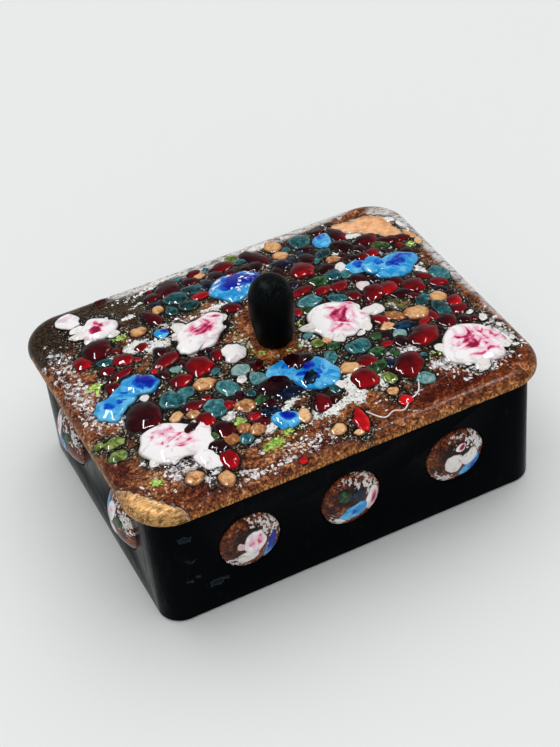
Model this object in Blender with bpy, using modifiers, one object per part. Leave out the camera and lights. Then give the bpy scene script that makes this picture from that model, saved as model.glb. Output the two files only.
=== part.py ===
"""Enamel box: a black lacquered box with a lift-off lid of enamelled copper.

Domed enamel discs are let into the four walls, and a turned black knob stands on the lid.
Metres, +Z up, +X along the length and -Y to the front. The origin is under the middle of the box.
"""

import math

import bmesh
import bpy
from mathutils import Matrix, Vector

# Box
BODY_LENGTH = 0.120
BODY_WIDTH = 0.092
WALL_HEIGHT = 0.0423
BODY_CORNER = 0.007
WALL = 0.006
FLOOR = 0.004
BODY_EDGE_ROUND = 0.0008
CAVITY_CORNER = 0.003

# Lid: a sheet whose rim is rolled down over the walls
LID_OVERHANG = 0.0035
LID_CORNER = 0.0128
LID_SHEET = 0.0016
LID_SEAT_GAP = 0.0005
RIM_LAP = 0.0011
ROLL_INSET = 0.0046
CROWN = 0.0018
CROWN_FULLNESS = 4
LID_STEPS = 6
LID_CORNER_STEPS = 3
ROLL_STEPS = 4

# Lumps fused on the lid
LUMP_RISE_SHARE = 0.17
LUMP_RISE_MAX = 0.0016
LUMP_ROOT = 0.0012
LUMP_WAVER = 0.07
LARGE_LUMP = 0.0095
LARGE_LUMP_SIDES = 12
SMALL_LUMP_SIDES = 8
LUMP_RINGS = 6

# Discs let into the walls
DISC_DIAMETER = 0.0183
DISC_EDGE = 0.0022
DISC_DOME = 0.0036
DISC_CLEARANCE = 0.0004
DISC_BED_GAP = 0.0003
LONG_SIDE_SPACING = 0.0326
SHORT_SIDE_SPACING = 0.0400
MIDDLE_DISC_DRIFT = -0.0012
DISC_SIDES = 20
DOME_STEPS = 3

# Knob
KNOB_FOOT = 0.0104
KNOB_WIDEST = 0.0133
KNOB_WIDEST_HEIGHT = 0.0115
KNOB_HEIGHT = 0.0222
KNOB_SEAT_GAP = 0.0003
KNOB_HEAD_FULLNESS = 2.3
KNOB_STEM_BOW = 1.5
KNOB_SIDES = 20
KNOB_HEAD_STEPS = 6
KNOB_STEM_STEPS = 3

# Worked out from the sizes above
LID_LENGTH = BODY_LENGTH + 2 * LID_OVERHANG
LID_WIDTH = BODY_WIDTH + 2 * LID_OVERHANG
RIM_BOTTOM = WALL_HEIGHT - RIM_LAP
SHOULDER = WALL_HEIGHT + LID_SEAT_GAP + LID_SHEET
ROLL_DROP = SHOULDER - RIM_BOTTOM
DISC_RADIUS = DISC_DIAMETER / 2
DISC_CENTRE_HEIGHT = WALL_HEIGHT / 2
POCKET_DEPTH = DISC_EDGE + DISC_BED_GAP

CORNER_STEPS = 6
CUT_MARGIN = 0.002
WELD = 0.000001
MILLIMETRE = 0.001

# The main lumps, by the colour of their glass. Each has its place along and across the lid, in
# percent of the half length and half width, then its length and width in mm and its turn in degrees.
LUMPS = {
    "blue": [
        (-83, -4, 10, 9, 20), (-67, 4, 13, 9, -10), (2, 59, 16, 15, 0), (-5, -29, 13, 8, 20),
        (6, -38, 15, 11, 75), (74, 26, 17, 12, 15), (57, 35, 8, 7, 0), (-20, -66, 8, 7, 0),
        (54, 73, 9, 6, 70),
    ],
    "rose": [
        (-77, 85, 8, 7, 0), (-67, 67, 12, 11, 0), (-28, 28, 19, 13, -15), (-20, 1, 8, 8, 0),
        (31, -4, 19, 17, -20), (76, -63, 21, 17, -10), (-67, -49, 20, 17, -25),
        (-59, -71, 10, 6, 110),
    ],
    "ruby": [
        (-83, 42, 6, 5, 70), (-73, 48, 10, 9, 0), (-72, -20, 13, 11, 60), (-49, 16, 9, 6, 20),
        (-38, 1, 10, 8, 100), (-49, -5, 7, 6, 0), (-43, 58, 9, 5, 110), (-27, 82, 10, 8, 60),
        (3, 84, 8, 6, 0), (20, 81, 12, 6, 115), (34, 51, 9, 8, 80), (55, 8, 9, 7, 60),
        (74, 3, 8, 7, 0), (72, 59, 8, 7, 0), (82, 50, 8, 5, -20), (62, 75, 10, 5, 100),
        (85, -21, 6, 5, 70), (74, -36, 7, 6, 30), (59, -42, 11, 9, 30), (43, -61, 11, 9, 30),
        (22, -59, 9, 8, 100), (-2, -64, 8, 6, 80), (-46, -56, 8, 6, 100), (-51, -77, 7, 6, 100),
        (-51, -28, 7, 5, 0), (9, -84, 9, 5, 75),
    ],
    "gold": [
        (-69, -80, 6, 5, 0), (-57, -87, 6, 5, 90), (-2, -86, 5, 5, 0), (-41, -15, 7, 6, 0),
        (-31, -44, 6, 6, 0), (20, -46, 7, 5, 0), (65, -22, 8, 7, 0), (80, -14, 6, 6, 0),
        (31, 73, 6, 5, 90),
    ],
    "teal": [
        (-57, -18, 8, 8, 0), (-43, -37, 9, 7, 70), (-33, -25, 8, 6, 100), (-23, -15, 6, 5, 0),
        (28, 20, 8, 6, 0), (30, -32, 7, 7, 0), (89, 7, 9, 6, 100), (-17, 71, 8, 8, 0),
        (44, 81, 8, 8, 0),
    ],
    "green": [(-89, -30, 6, 5, 0), (-90, -42, 6, 5, 0), (35, -42, 6, 5, 0)],
}


def empty_the_scene():
    for thing in list(bpy.data.objects):
        bpy.data.objects.remove(thing)


def new_collection(name):
    collection = bpy.data.collections.new(name)
    bpy.context.scene.collection.children.link(collection)
    return collection


def finish_material(name, colour, roughness, metallic=0.0):
    material = bpy.data.materials.new(name)
    material.use_nodes = True
    shader = material.node_tree.nodes["Principled BSDF"]
    shader.inputs["Base Color"].default_value = (*colour, 1.0)
    shader.inputs["Roughness"].default_value = roughness
    shader.inputs["Metallic"].default_value = metallic
    return material


def add_object(name, mesh, collection, material=None):
    thing = bpy.data.objects.new(name, mesh)
    collection.objects.link(thing)
    if material is not None and not mesh.materials:
        mesh.materials.append(material)
    return thing


def mesh_from(shape, name):
    mesh = bpy.data.meshes.new(name)
    shape.to_mesh(mesh)
    shape.free()
    return mesh


def as_cutter(thing):
    thing.hide_render = True
    thing.display_type = "WIRE"
    return thing


def shade(mesh, sharp_angle=40):
    mesh.shade_smooth()
    mesh.set_sharp_from_angle(angle=math.radians(sharp_angle))


def add_boolean(thing, name, operation, other, self_crossing=False):
    boolean = thing.modifiers.new(name, "BOOLEAN")
    boolean.operation = operation
    boolean.object = other
    boolean.use_self = self_crossing


def rounded_outline(length, width, corner):
    """Points round a rectangle with round corners, anticlockwise from the +X +Y corner's start."""
    points = []
    for turn, (sx, sy) in enumerate(((1, 1), (-1, 1), (-1, -1), (1, -1))):
        for step in range(CORNER_STEPS + 1):
            angle = math.radians(90 * (turn + step / CORNER_STEPS))
            x = sx * (length / 2 - corner) + corner * math.cos(angle)
            y = sy * (width / 2 - corner) + corner * math.sin(angle)
            points.append((x, y))
    return points


def slab_mesh(name, length, width, corner, low, high):
    """A block with a rounded outline between two heights, from an extruded flat curve."""
    outline = bpy.data.curves.new(name, "CURVE")
    outline.dimensions = "2D"
    outline.fill_mode = "BOTH"
    outline.extrude = (high - low) / 2
    points = rounded_outline(length, width, corner)
    spline = outline.splines.new("POLY")
    spline.points.add(len(points) - 1)
    for point, (x, y) in zip(spline.points, points):
        point.co = (x, y, 0.0, 1.0)
    spline.use_cyclic_u = True
    drawn = bpy.data.objects.new(name, outline)
    bpy.context.scene.collection.objects.link(drawn)
    evaluated = drawn.evaluated_get(bpy.context.evaluated_depsgraph_get())
    mesh = bpy.data.meshes.new_from_object(evaluated)
    bpy.data.objects.remove(drawn)
    shape = bmesh.new()
    shape.from_mesh(mesh)
    bmesh.ops.remove_doubles(shape, verts=shape.verts, dist=WELD)
    bmesh.ops.translate(shape, verts=shape.verts, vec=(0, 0, (high + low) / 2))
    bmesh.ops.recalc_face_normals(shape, faces=shape.faces)
    shape.to_mesh(mesh)
    shape.free()
    return mesh


def disc_places():
    """Each disc's node name, its centre on the wall's face and the way it looks out."""
    places = []
    for side, outward in (("front", Vector((0, -1, 0))), ("back", Vector((0, 1, 0)))):
        drift = MIDDLE_DISC_DRIFT if side == "front" else 0.0
        for number, shift in enumerate((-LONG_SIDE_SPACING, drift, LONG_SIDE_SPACING), 1):
            face = outward * (BODY_WIDTH / 2)
            centre = face + Vector((shift, 0, DISC_CENTRE_HEIGHT))
            places.append((f"disc_{side}_{number}", centre, outward))
    for side, outward in (("left", Vector((-1, 0, 0))), ("right", Vector((1, 0, 0)))):
        for number, shift in enumerate((-SHORT_SIDE_SPACING / 2, SHORT_SIDE_SPACING / 2), 1):
            face = outward * (BODY_LENGTH / 2)
            centre = face + Vector((0, shift, DISC_CENTRE_HEIGHT))
            places.append((f"disc_{side}_{number}", centre, outward))
    return places


def facing(outward):
    """The rotation that turns +Z to look outward, with the wall's up kept up."""
    return outward.to_track_quat("Z", "Y")


def pocket_mesh():
    """One round cutter for every disc's pocket, from below its bed to outside the wall."""
    shape = bmesh.new()
    for _name, centre, outward in disc_places():
        middle = centre + outward * ((CUT_MARGIN - POCKET_DEPTH) / 2)
        place = Matrix.Translation(middle) @ facing(outward).to_matrix().to_4x4()
        bmesh.ops.create_cone(
            shape,
            cap_ends=True,
            segments=DISC_SIDES,
            radius1=DISC_RADIUS + DISC_CLEARANCE,
            radius2=DISC_RADIUS + DISC_CLEARANCE,
            depth=POCKET_DEPTH + CUT_MARGIN,
            matrix=place,
        )
    return mesh_from(shape, "disc_pockets")


def make_body(parts, cutters, lacquer):
    mesh = slab_mesh("box_body", BODY_LENGTH, BODY_WIDTH, BODY_CORNER, 0.0, WALL_HEIGHT)
    body = add_object("box_body", mesh, parts, lacquer)
    soften = body.modifiers.new("soft edges", "BEVEL")
    soften.width = BODY_EDGE_ROUND
    soften.segments = 2
    soften.limit_method = "ANGLE"
    soften.angle_limit = math.radians(60)
    hollow = slab_mesh(
        "cavity",
        BODY_LENGTH - 2 * WALL,
        BODY_WIDTH - 2 * WALL,
        CAVITY_CORNER,
        FLOOR,
        WALL_HEIGHT + CUT_MARGIN,
    )
    cavity = as_cutter(add_object("cavity", hollow, cutters))
    add_boolean(body, "hollow", "DIFFERENCE", cavity)
    pockets = as_cutter(add_object("disc_pockets", pocket_mesh(), cutters))
    add_boolean(body, "pockets", "DIFFERENCE", pockets)
    shade(mesh)
    return body


def screw_round(thing, sides):
    turn = thing.modifiers.new("turn", "SCREW")
    turn.axis = "Z"
    turn.steps = sides
    turn.render_steps = sides
    turn.use_merge_vertices = True
    turn.merge_threshold = WELD


def profile_mesh(name, points):
    """A turned piece's half profile: (radius, height) from the top on the axis to the bottom."""
    mesh = bpy.data.meshes.new(name)
    vertices = [(radius, 0.0, height) for radius, height in points]
    edges = [(number, number + 1) for number in range(len(points) - 1)]
    mesh.from_pydata(vertices, edges, [])
    return mesh


def disc_profile():
    """A shallow dome over a straight edge, with a flat back. Height 0 is the wall's face."""
    sphere = (DISC_RADIUS**2 + DISC_DOME**2) / (2 * DISC_DOME)
    reach = math.asin(DISC_RADIUS / sphere)
    points = []
    for step in range(DOME_STEPS + 1):
        angle = reach * step / DOME_STEPS
        points.append((sphere * math.sin(angle), DISC_DOME - sphere * (1 - math.cos(angle))))
    points.append((DISC_RADIUS, -DISC_EDGE))
    points.append((0.0, -DISC_EDGE))
    return points


def make_discs(parts, enamel):
    mesh = profile_mesh("disc", disc_profile())
    for name, centre, outward in disc_places():
        disc = add_object(name, mesh, parts, enamel)
        disc.location = centre
        disc.rotation_mode = "QUATERNION"
        disc.rotation_quaternion = facing(outward)
        screw_round(disc, DISC_SIDES)


def crown_height(x, y):
    """Height of the lid's upper face inside the shoulder, over the point (x, y)."""
    along = min(abs(x) / (LID_LENGTH / 2 - ROLL_INSET), 1.0)
    across = min(abs(y) / (LID_WIDTH / 2 - ROLL_INSET), 1.0)
    return SHOULDER + CROWN * (1 - along**CROWN_FULLNESS) * (1 - across**CROWN_FULLNESS)


def side_place(share, half_side):
    """How far along its straight half side a place from -1 to 1 lies, and its angle round the corner."""
    straight = 1 - LID_CORNER_STEPS / LID_STEPS
    along = min(abs(share) / straight, 1.0) * (half_side - LID_CORNER)
    return along, math.radians(45) * max(abs(share) - straight, 0.0) / (1 - straight)


def shoulder_point(p, q):
    """Where the point (p, q) of a square's border lies on the shoulder, and the way out there."""
    x, turn_x = side_place(p, LID_LENGTH / 2)
    y, turn_y = side_place(q, LID_WIDTH / 2)
    if abs(p) > abs(q):
        bend = Vector((LID_LENGTH / 2 - LID_CORNER, y))
        outward = Vector((math.cos(turn_y), math.sin(turn_y)))
    else:
        bend = Vector((x, LID_WIDTH / 2 - LID_CORNER))
        outward = Vector((math.sin(turn_x), math.cos(turn_x)))
    signs = Vector((math.copysign(1, p), math.copysign(1, q)))
    return (bend + outward * (LID_CORNER - ROLL_INSET)) * signs, outward * signs


def lid_point(u, v):
    """The place on the lid's upper face of a point of a square: flat to 1, rolled down from 1 to 2."""
    ring = max(abs(u), abs(v))
    if ring == 0:
        return Vector((0, 0, crown_height(0, 0)))
    shoulder, outward = shoulder_point(u / ring, v / ring)
    if ring <= 1:
        x, y = shoulder * ring
        return Vector((x, y, crown_height(x, y)))
    rolled = (ring - 1) * math.pi / 2
    x, y = shoulder + outward * ROLL_INSET * math.sin(rolled)
    return Vector((x, y, SHOULDER - ROLL_DROP * (1 - math.cos(rolled))))


def lid_sheet_mesh():
    """A square grid whose border is extruded ring by ring for the roll, then laid on the lid's form."""
    shape = bmesh.new()
    bmesh.ops.create_grid(shape, x_segments=2 * LID_STEPS, y_segments=2 * LID_STEPS, size=1)
    border = [edge for edge in shape.edges if edge.is_boundary]
    for step in range(ROLL_STEPS):
        made = bmesh.ops.extrude_edge_only(shape, edges=border)["geom"]
        border = [item for item in made if isinstance(item, bmesh.types.BMEdge) and item.is_boundary]
        wider = (ROLL_STEPS + step + 1) / (ROLL_STEPS + step)
        for vertex in {vertex for edge in border for vertex in edge.verts}:
            vertex.co *= wider
    for vertex in shape.verts:
        vertex.co = lid_point(vertex.co.x, vertex.co.y)
    return mesh_from(shape, "lid")


def add_lump(shape, number, along, across, length, width, turn):
    """A melted drop of glass, domed over the lid's crown and rooted in it, with a wavering outline."""
    size = length * MILLIMETRE
    breadth = width * MILLIMETRE
    rise = min(LUMP_RISE_SHARE * breadth, LUMP_RISE_MAX)
    made = bmesh.ops.create_uvsphere(
        shape,
        u_segments=LARGE_LUMP_SIDES if size > LARGE_LUMP else SMALL_LUMP_SIDES,
        v_segments=LUMP_RINGS,
        radius=1.0,
    )
    x = along / 100 * LID_LENGTH / 2
    y = across / 100 * LID_WIDTH / 2
    turned = Matrix.Rotation(math.radians(turn), 4, "Z")
    place = Matrix.Translation((x, y, 0)) @ turned
    for vertex in made["verts"]:
        angle = math.atan2(vertex.co.y, vertex.co.x)
        waver = 1 + LUMP_WAVER * (math.sin(2 * angle + number) + math.sin(3 * angle + 2 * number)) / 2
        height = vertex.co.z * (rise if vertex.co.z > 0 else LUMP_ROOT)
        flat = Vector((vertex.co.x * size / 2 * waver, vertex.co.y * breadth / 2 * waver, height))
        vertex.co = place @ flat
        vertex.co.z += crown_height(vertex.co.x, vertex.co.y)


def lumps_mesh():
    shape = bmesh.new()
    number = 0
    for lumps in LUMPS.values():
        for lump in lumps:
            number += 1
            add_lump(shape, number, *lump)
    return mesh_from(shape, "lumps")


def make_lid(parts, cutters, enamel):
    mesh = lid_sheet_mesh()
    lid = add_object("lid", mesh, parts, enamel)
    sheet = lid.modifiers.new("sheet", "SOLIDIFY")
    sheet.thickness = LID_SHEET
    sheet.offset = -1
    lumps = as_cutter(add_object("lumps", lumps_mesh(), cutters))
    add_boolean(lid, "fused lumps", "UNION", lumps, self_crossing=True)
    shade(mesh)
    return lid


def knob_profile():
    """A peg that widens upwards to a rounded head. Height 0 is the foot."""
    widest = KNOB_WIDEST / 2
    head = KNOB_HEIGHT - KNOB_WIDEST_HEIGHT
    points = []
    for step in range(KNOB_HEAD_STEPS + 1):
        angle = math.pi / 2 * step / KNOB_HEAD_STEPS
        radius = widest * math.sin(angle) ** (2 / KNOB_HEAD_FULLNESS)
        height = KNOB_WIDEST_HEIGHT + head * math.cos(angle) ** (2 / KNOB_HEAD_FULLNESS)
        points.append((radius, height))
    for step in range(1, KNOB_STEM_STEPS + 1):
        down = step / KNOB_STEM_STEPS
        radius = widest + (KNOB_FOOT / 2 - widest) * down**KNOB_STEM_BOW
        points.append((radius, KNOB_WIDEST_HEIGHT * (1 - down)))
    points.append((0.0, 0.0))
    return points


def make_knob(parts, lacquer):
    knob = add_object("knob", profile_mesh("knob", knob_profile()), parts, lacquer)
    knob.location = (0, 0, crown_height(0, 0) + KNOB_SEAT_GAP)
    screw_round(knob, KNOB_SIDES)
    return knob


def main():
    empty_the_scene()
    parts = new_collection("enamel box")
    cutters = new_collection("cutters")
    black_lacquer = finish_material("black_lacquer", (0.010, 0.011, 0.013), 0.22)
    copper_enamel = finish_material("copper_enamel", (0.20, 0.085, 0.045), 0.12)
    disc_enamel = finish_material("disc_enamel", (0.30, 0.24, 0.26), 0.12)
    make_body(parts, cutters, black_lacquer)
    make_discs(parts, disc_enamel)
    make_lid(parts, cutters, copper_enamel)
    make_knob(parts, black_lacquer)


main()
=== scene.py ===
"""Looks of the enamel box: black lacquer, domed enamel discs and a lid of melted glass on copper.

Metres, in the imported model's frame: +X along the length, -Y to the front and +Z up.
"""
import itertools
import math
import random
from collections import namedtuple

import bpy
import numpy as np
from mathutils import Matrix, Quaternion, Vector, noise

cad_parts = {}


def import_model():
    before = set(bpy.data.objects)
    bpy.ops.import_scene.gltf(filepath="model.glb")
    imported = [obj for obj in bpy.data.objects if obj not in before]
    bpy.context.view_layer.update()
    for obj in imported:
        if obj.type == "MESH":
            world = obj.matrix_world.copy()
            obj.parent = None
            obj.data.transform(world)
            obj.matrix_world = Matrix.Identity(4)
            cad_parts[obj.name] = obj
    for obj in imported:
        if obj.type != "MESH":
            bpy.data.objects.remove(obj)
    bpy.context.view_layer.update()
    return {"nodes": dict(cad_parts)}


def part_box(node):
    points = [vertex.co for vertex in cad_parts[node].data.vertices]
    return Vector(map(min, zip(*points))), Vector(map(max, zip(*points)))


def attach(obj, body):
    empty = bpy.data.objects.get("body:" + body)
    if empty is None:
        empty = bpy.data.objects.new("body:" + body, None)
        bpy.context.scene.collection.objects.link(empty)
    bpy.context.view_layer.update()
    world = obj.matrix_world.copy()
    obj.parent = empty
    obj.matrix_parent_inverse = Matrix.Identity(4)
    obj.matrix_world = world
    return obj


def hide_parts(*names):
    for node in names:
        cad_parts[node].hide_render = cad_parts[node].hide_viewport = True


MM = 0.001

# Camera, at the photograph's viewing angle
CAMERA_AZIMUTH = -22.29
CAMERA_ELEVATION = 40.50
CAMERA_ROLL = -6.19
CAMERA_DISTANCE = 0.5251
CAMERA_LENS = 82.46
SENSOR = 36.0
CAMERA_AIM = (0.0061, 0.0139, 0.0200)

# Box body
BODY_CORNER = 7.0 * MM
WALL = 6.0 * MM
FLOOR = 4.0 * MM
CAVITY_CORNER = 3.0 * MM
BODY_EDGE_ROUND = 0.8 * MM
POCKET_LIP = 0.25 * MM
DISC_CLEARANCE = 0.4 * MM
DISC_BED_GAP = 0.3 * MM

# Lid sheet
LID_CORNER = 12.8 * MM
LID_SHEET = 1.6 * MM
SEAT_GAP = 0.5 * MM
ROLL_INSET = 4.6 * MM
CROWN = 1.8 * MM
CROWN_FULLNESS = 6
ROLL_FULLNESS = 2.5
SHEET_STEPS_X = 236
SHEET_STEPS_Y = 184
SHOULDER_SHARE = 0.90
CORNER_SHARE = 0.14

# Melted drops
RISE_SHARE = 0.17
RISE_MAX = 1.6 * MM
ROOT = 0.7 * MM
SOFTNESS = 1.05
RAGGED = {"rose_glass": 0.13, "sky_glass": 0.12, "milk_glass": 0.12, "dark_glass": 0.16}
PLAIN_RAGGED = 0.11
DISC_RAGGED = 0.10
WAVES = range(2, 10)
WAVE_SIZE = 1.7
UNEVENNESS = 0.16
FINE_LENGTH = 6
STACK_FULLNESS = 2.8
STACK_SHARE = 0.75
PETALS = 5
PETALLED_LENGTH = 11

# Enamel between the drops: the rise at their edges, its reach and the two layers' reach, in mm,
# the ripples' size, height and seed plane, and the copper's edge, rind and depth
FAR_AWAY = 99.0
MENISCUS = 0.22
MENISCUS_REACH = 0.7
DARK_ENAMEL_AND_SHADE_REACH = 0.5
CROWD_REACH = 4.2
RIPPLES = [(9.0, 0.10, 3.1), (2.6, 0.06, 7.7)]
COPPER_EDGE = 2.2
CRUST_HEIGHT = 0.20
COPPER_DEPTH = 0.16
FIBRE_TURN = 52
SHAKE_SIZE = 0.8

# Knob, turned as a peg: its foot's radius and rounding, and the height where it is widest
KNOB_FOOT = 5.2 * MM
KNOB_FOOT_ROUND = 0.5 * MM
KNOB_NECK = 11.5 * MM
KNOB_FULLNESS = 2.7
KNOB_TIP = 0.25 * MM
NECK_STEPS = 12
HEAD_STEPS = 24
TURNED_SIDES = 72
CORNER_SEGMENTS = 14

# Discs
DISC_EDGE = 2.2 * MM
DISC_DOME = 3.6 * MM
DISC_GLASS = 0.30 * MM
DISC_DROP_INSET = 0.25 * MM
DISC_SEEDS = 7

# Stage: the floor, the brightness of the windows, and the room's colours by height
FLOOR_SIZE = 8.0
FLOOR_GAP = 0.05 * MM
WINDOW_LEFT = 95
WINDOW_RIGHT = 70
ROOM_STOPS = [(0.25, (0.44, 0.455, 0.46, 1)), (0.62, (0.13, 0.136, 0.14, 1))]

SEED = 11

Drop = namedtuple("Drop", "x y length width turn tint", defaults=(0, 0.5))

# Glass drops on the lid, by the colour of their glass, in mm from the lid's middle. Each has its
# place, its length and width, its turn in degrees and its shade from 0, dark, to 1, light.
LID_DROPS = {
    "sky_glass": [
        (-52.5, -2, 11, 9.5, 20, 0.95), (-47.5, 0.8, 11, 8.6, 20, 0.75), (-42.5, 2, 13, 9, -10, 0.45),
        (1, 29, 17, 15, 0, 0.30), (-4, -14.5, 14, 9, 20, 0.80), (3, -20, 16, 13, 80, 0.75),
        (47, 13, 17, 12, 15, 0.70), (41, 15, 8, 9, 0, 0.80),
        (36.5, 17.5, 8, 7, 0, 0.75), (-12.5, -32.5, 8, 7.5, 0, 1.0), (34, 36, 9, 6, 70, 0.85),
        (-27.5, 20, 5, 4.5, 0, 0.85),
    ],
    "rose_glass": [
        (-49, 42, 8, 7.5, 0, 0.75), (-42.5, 33, 12, 11, 180, 0.20), (-17.5, 14, 19, 13, 20, 0.20),
        (-22.5, 9.5, 9, 7, 30, 1.0), (-13, 0.5, 8, 8, 0, 1.0), (19.5, -2, 19, 17, -20, 0.0),
        (48, -31, 21, 17, -10, 0.10), (-42.5, -24.5, 17, 20, 60, 0.38), (-37.5, -35, 10, 6, 110, 0.9),
        (-48, 36.5, 5, 4, 0, 0.8),
    ],
    "ruby_glass": [
        (-52.5, 21, 6.5, 5.5, 70, 0.75), (-46.5, 24, 10, 9, 0, 0.30), (-46, -10.5, 13, 11, 60, 0.20),
        (-31, 8, 9, 6, 20, 0.55), (-24, 0.5, 10, 8, 100, 0.65), (-31, -2.5, 7, 6, 0, 0.62),
        (-27, 28.5, 9, 5, 110, 0.35), (-17, 40.5, 10, 8, 60, 0.35), (2, 41.5, 8, 6, 0, 0.45),
        (12.5, 40, 12, 6, 115, 0.30), (21.5, 25, 9, 8, 80, 0.58), (35, 4, 9, 7, 60, 0.50),
        (47, 1.5, 8, 7, 0, 0.52), (46, 29, 8, 7, 0, 0.30), (52, 26, 8, 5, -20, 0.20),
        (39.5, 37, 10, 5, 100, 0.35), (54, -10.5, 6, 5, 70, 0.75), (47, -18, 7, 6, 30, 0.28),
        (37.5, -21, 11, 9, 30, 0.55), (27.5, -30, 11, 9, 30, 0.42), (14, -29, 9, 8, 100, 0.62),
        (-1, -31.5, 8, 6, 80, 0.40), (-29, -27.5, 8, 6, 100, 0.22), (-32.5, -38, 7, 6, 100, 0.68),
        (-32.5, -14, 7, 5, 0, 0.45), (5.5, -42.5, 9, 4.7, 75, 1.0), (-47.5, 13.5, 5, 4, 0, 0.55),
        (-44, 9.8, 7, 3.6, 15, 0.62), (-17.5, 2.5, 6, 4.5, 60, 0.50), (-23, 38.5, 6, 5, 0, 0.25),
        (-35, 17.5, 5, 3.6, 0, 0.55), (-38, 13, 2.6, 2.6, 0, 0.70), (-36, 5.5, 2.6, 2.5, 0, 1.0),
        (-4.5, 20, 6, 5, 0, 0.45), (16.5, 16, 9, 4, 15, 0.58), (22, 13, 5.5, 4.5, 0, 0.62),
        (27.5, 12, 6, 5, 0, 0.60), (29, 5.5, 5, 5, 0, 0.40), (56, 25.5, 6, 4, 0, 0.30),
        (41, -15.5, 5, 3, 20, 0.80), (26.5, -19, 4, 3, 0, 0.75), (-28, -13, 3.6, 3, 0, 0.55),
        (-24, -19, 5, 4.6, 0, 0.62), (-19.5, -27, 4.6, 4, 0, 0.70), (20, -41.5, 5, 4, 0, 1.0),
        (35, 42, 5, 4, 0, 0.25), (-15, -47.5, 2.6, 2.2, 0, 0.85), (-37, 46.5, 5, 3.4, 20, 0.20),
    ],
    "dark_glass": [
        (-9, -18.6, 11.5, 7.6, 15, 0.15), (0.6, -13.2, 9.4, 7.0, 10, 0.10), (-7, -23, 9, 5.6, 0, 0.55),
        (0.8, -21.5, 6.5, 4.2, 60, 0.85), (-37.5, -23.2, 6.5, 3.2, 35, 0.05),
    ],
    "gold_glass": [
        (-43.5, -39.5, 6.2, 5.4, 0, 0.45), (-36, -44, 6.2, 5.4, 90, 0.55), (-1.5, -42.5, 5, 4.6, 0, 0.8),
        (-26, -7.5, 7, 6, 0, 0.55), (-20, -22, 6.4, 6, 0, 0.25), (12.5, -23, 7, 5.4, 0, 0.70),
        (41, -11, 8.4, 6.8, 0, 0.50), (50.5, -7, 6.2, 5.6, 0, 0.60), (19.5, 36, 6, 5, 90, 0.65),
        (3, -46, 3.6, 2.4, 0, 0.9), (-7.5, -33.5, 6, 4.6, 60, 0.85), (-21, -32, 5, 5, 0, 0.30),
        (-29, -32, 5.5, 4.4, 0, 0.05), (18.5, -37, 4, 3.4, 0, 0.60), (30.5, -12.5, 5, 4.5, 0, 0.55),
        (-33, 24.5, 5.6, 5, 0, 0.45), (32, 25, 5, 4, 0, 0.35), (60, 21.5, 4.6, 3, 80, 0.85),
        (-6, 41, 4.5, 3.5, 0, 0.7),
    ],
    "teal_glass": [
        (-36.5, -9, 8.4, 8, 0, 0.35), (-32, -8, 6, 5, 0, 0.45), (-27.5, -18.5, 9, 7, 70, 0.50),
        (-21, -12.5, 8.4, 6.2, 100, 0.55), (-14.5, -7.5, 6.2, 5.8, 0, 0.95), (16.5, 10, 8, 6, 0, 0.60),
        (19, -16, 8, 7, 0, 0.35), (57, 3.5, 9, 6, 100, 0.50), (-17, 33.5, 8, 7.6, 0, 0.15),
        (28, 40, 8, 8, 0, 0.30), (-11, 35, 7, 6.4, 0, 0.10), (32, -17, 5, 4.6, 0, 0.90),
        (29, -37, 6, 5, 0, 0.75), (8, 41, 5, 3.2, 0, 0.3), (-15, 28, 7, 6, 0, 0.05),
    ],
    "milk_glass": [
        (57.8, 36.0, 4.2, 3.0, 120, 0.2), (59.3, 32.2, 4.4, 2.4, 100, 0.3), (60.0, 28.4, 2.6, 1.5, 80, 0.1),
        (57.0, -21.5, 4.0, 2.8, 60, 0.2), (59.2, -26.5, 3.2, 2.0, 90, 0.4), (54.8, -17.6, 3.4, 2.2, 20, 0.3),
        (59.5, -33.5, 3.4, 1.9, 80, 0.1), (38.2, -33.5, 3.0, 2.2, 40, 0.2), (43, 33.4, 7.0, 2.6, -20, 0.1),
    ],
    "green_glass": [
        (-57, -15, 6.2, 4.6, 0, 0.90), (-58, -20.5, 6, 5, 0, 0.55), (22.5, -21, 6, 5, 0, 0.20),
        (-61, -13.5, 3.4, 2.6, 0, 0.75), (13, -12, 4.4, 4, 0, 0.15), (25.5, -14.5, 4, 3.6, 0, 0.3),
    ],
}

# Where the seeded small drops lie: middle and half sizes in mm
SMALL_DROP_FIELDS = [
    (-28, -12, 20, 15), (-32, 12, 17, 9), (24, -15, 18, 14), (42, -8, 13, 13), (26, 10, 18, 12),
    (8, 36, 32, 8), (40, 26, 16, 14), (-22, -28, 12, 6), (12, -28, 14, 6),
]
SMALL_DROP_KINDS = ["ruby_glass"] * 9 + ["teal_glass"] * 6 + ["gold_glass"]
SMALL_DROP_KINDS += ["milk_glass"] + ["green_glass"] * 2 + ["dark_glass"] * 5
SMALL_DROP_TRIES = 1500
SMALL_DROP_WIDEST = 5.8
SMALL_DROP_SHRINK = 3.6
SMALL_DROP_GAP = 0.14

# Places without small drops, in mm: past these half sizes, round the knob, and on the far copper,
# given by its middle and reach, and where a ground patch is stronger than this share
DROP_LIMIT = (58, 44)
KNOB_CLEAR = 6.5
COPPER_CLEAR = (50, 36, 10.5)
PATCH_CLEAR = 0.42

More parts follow.
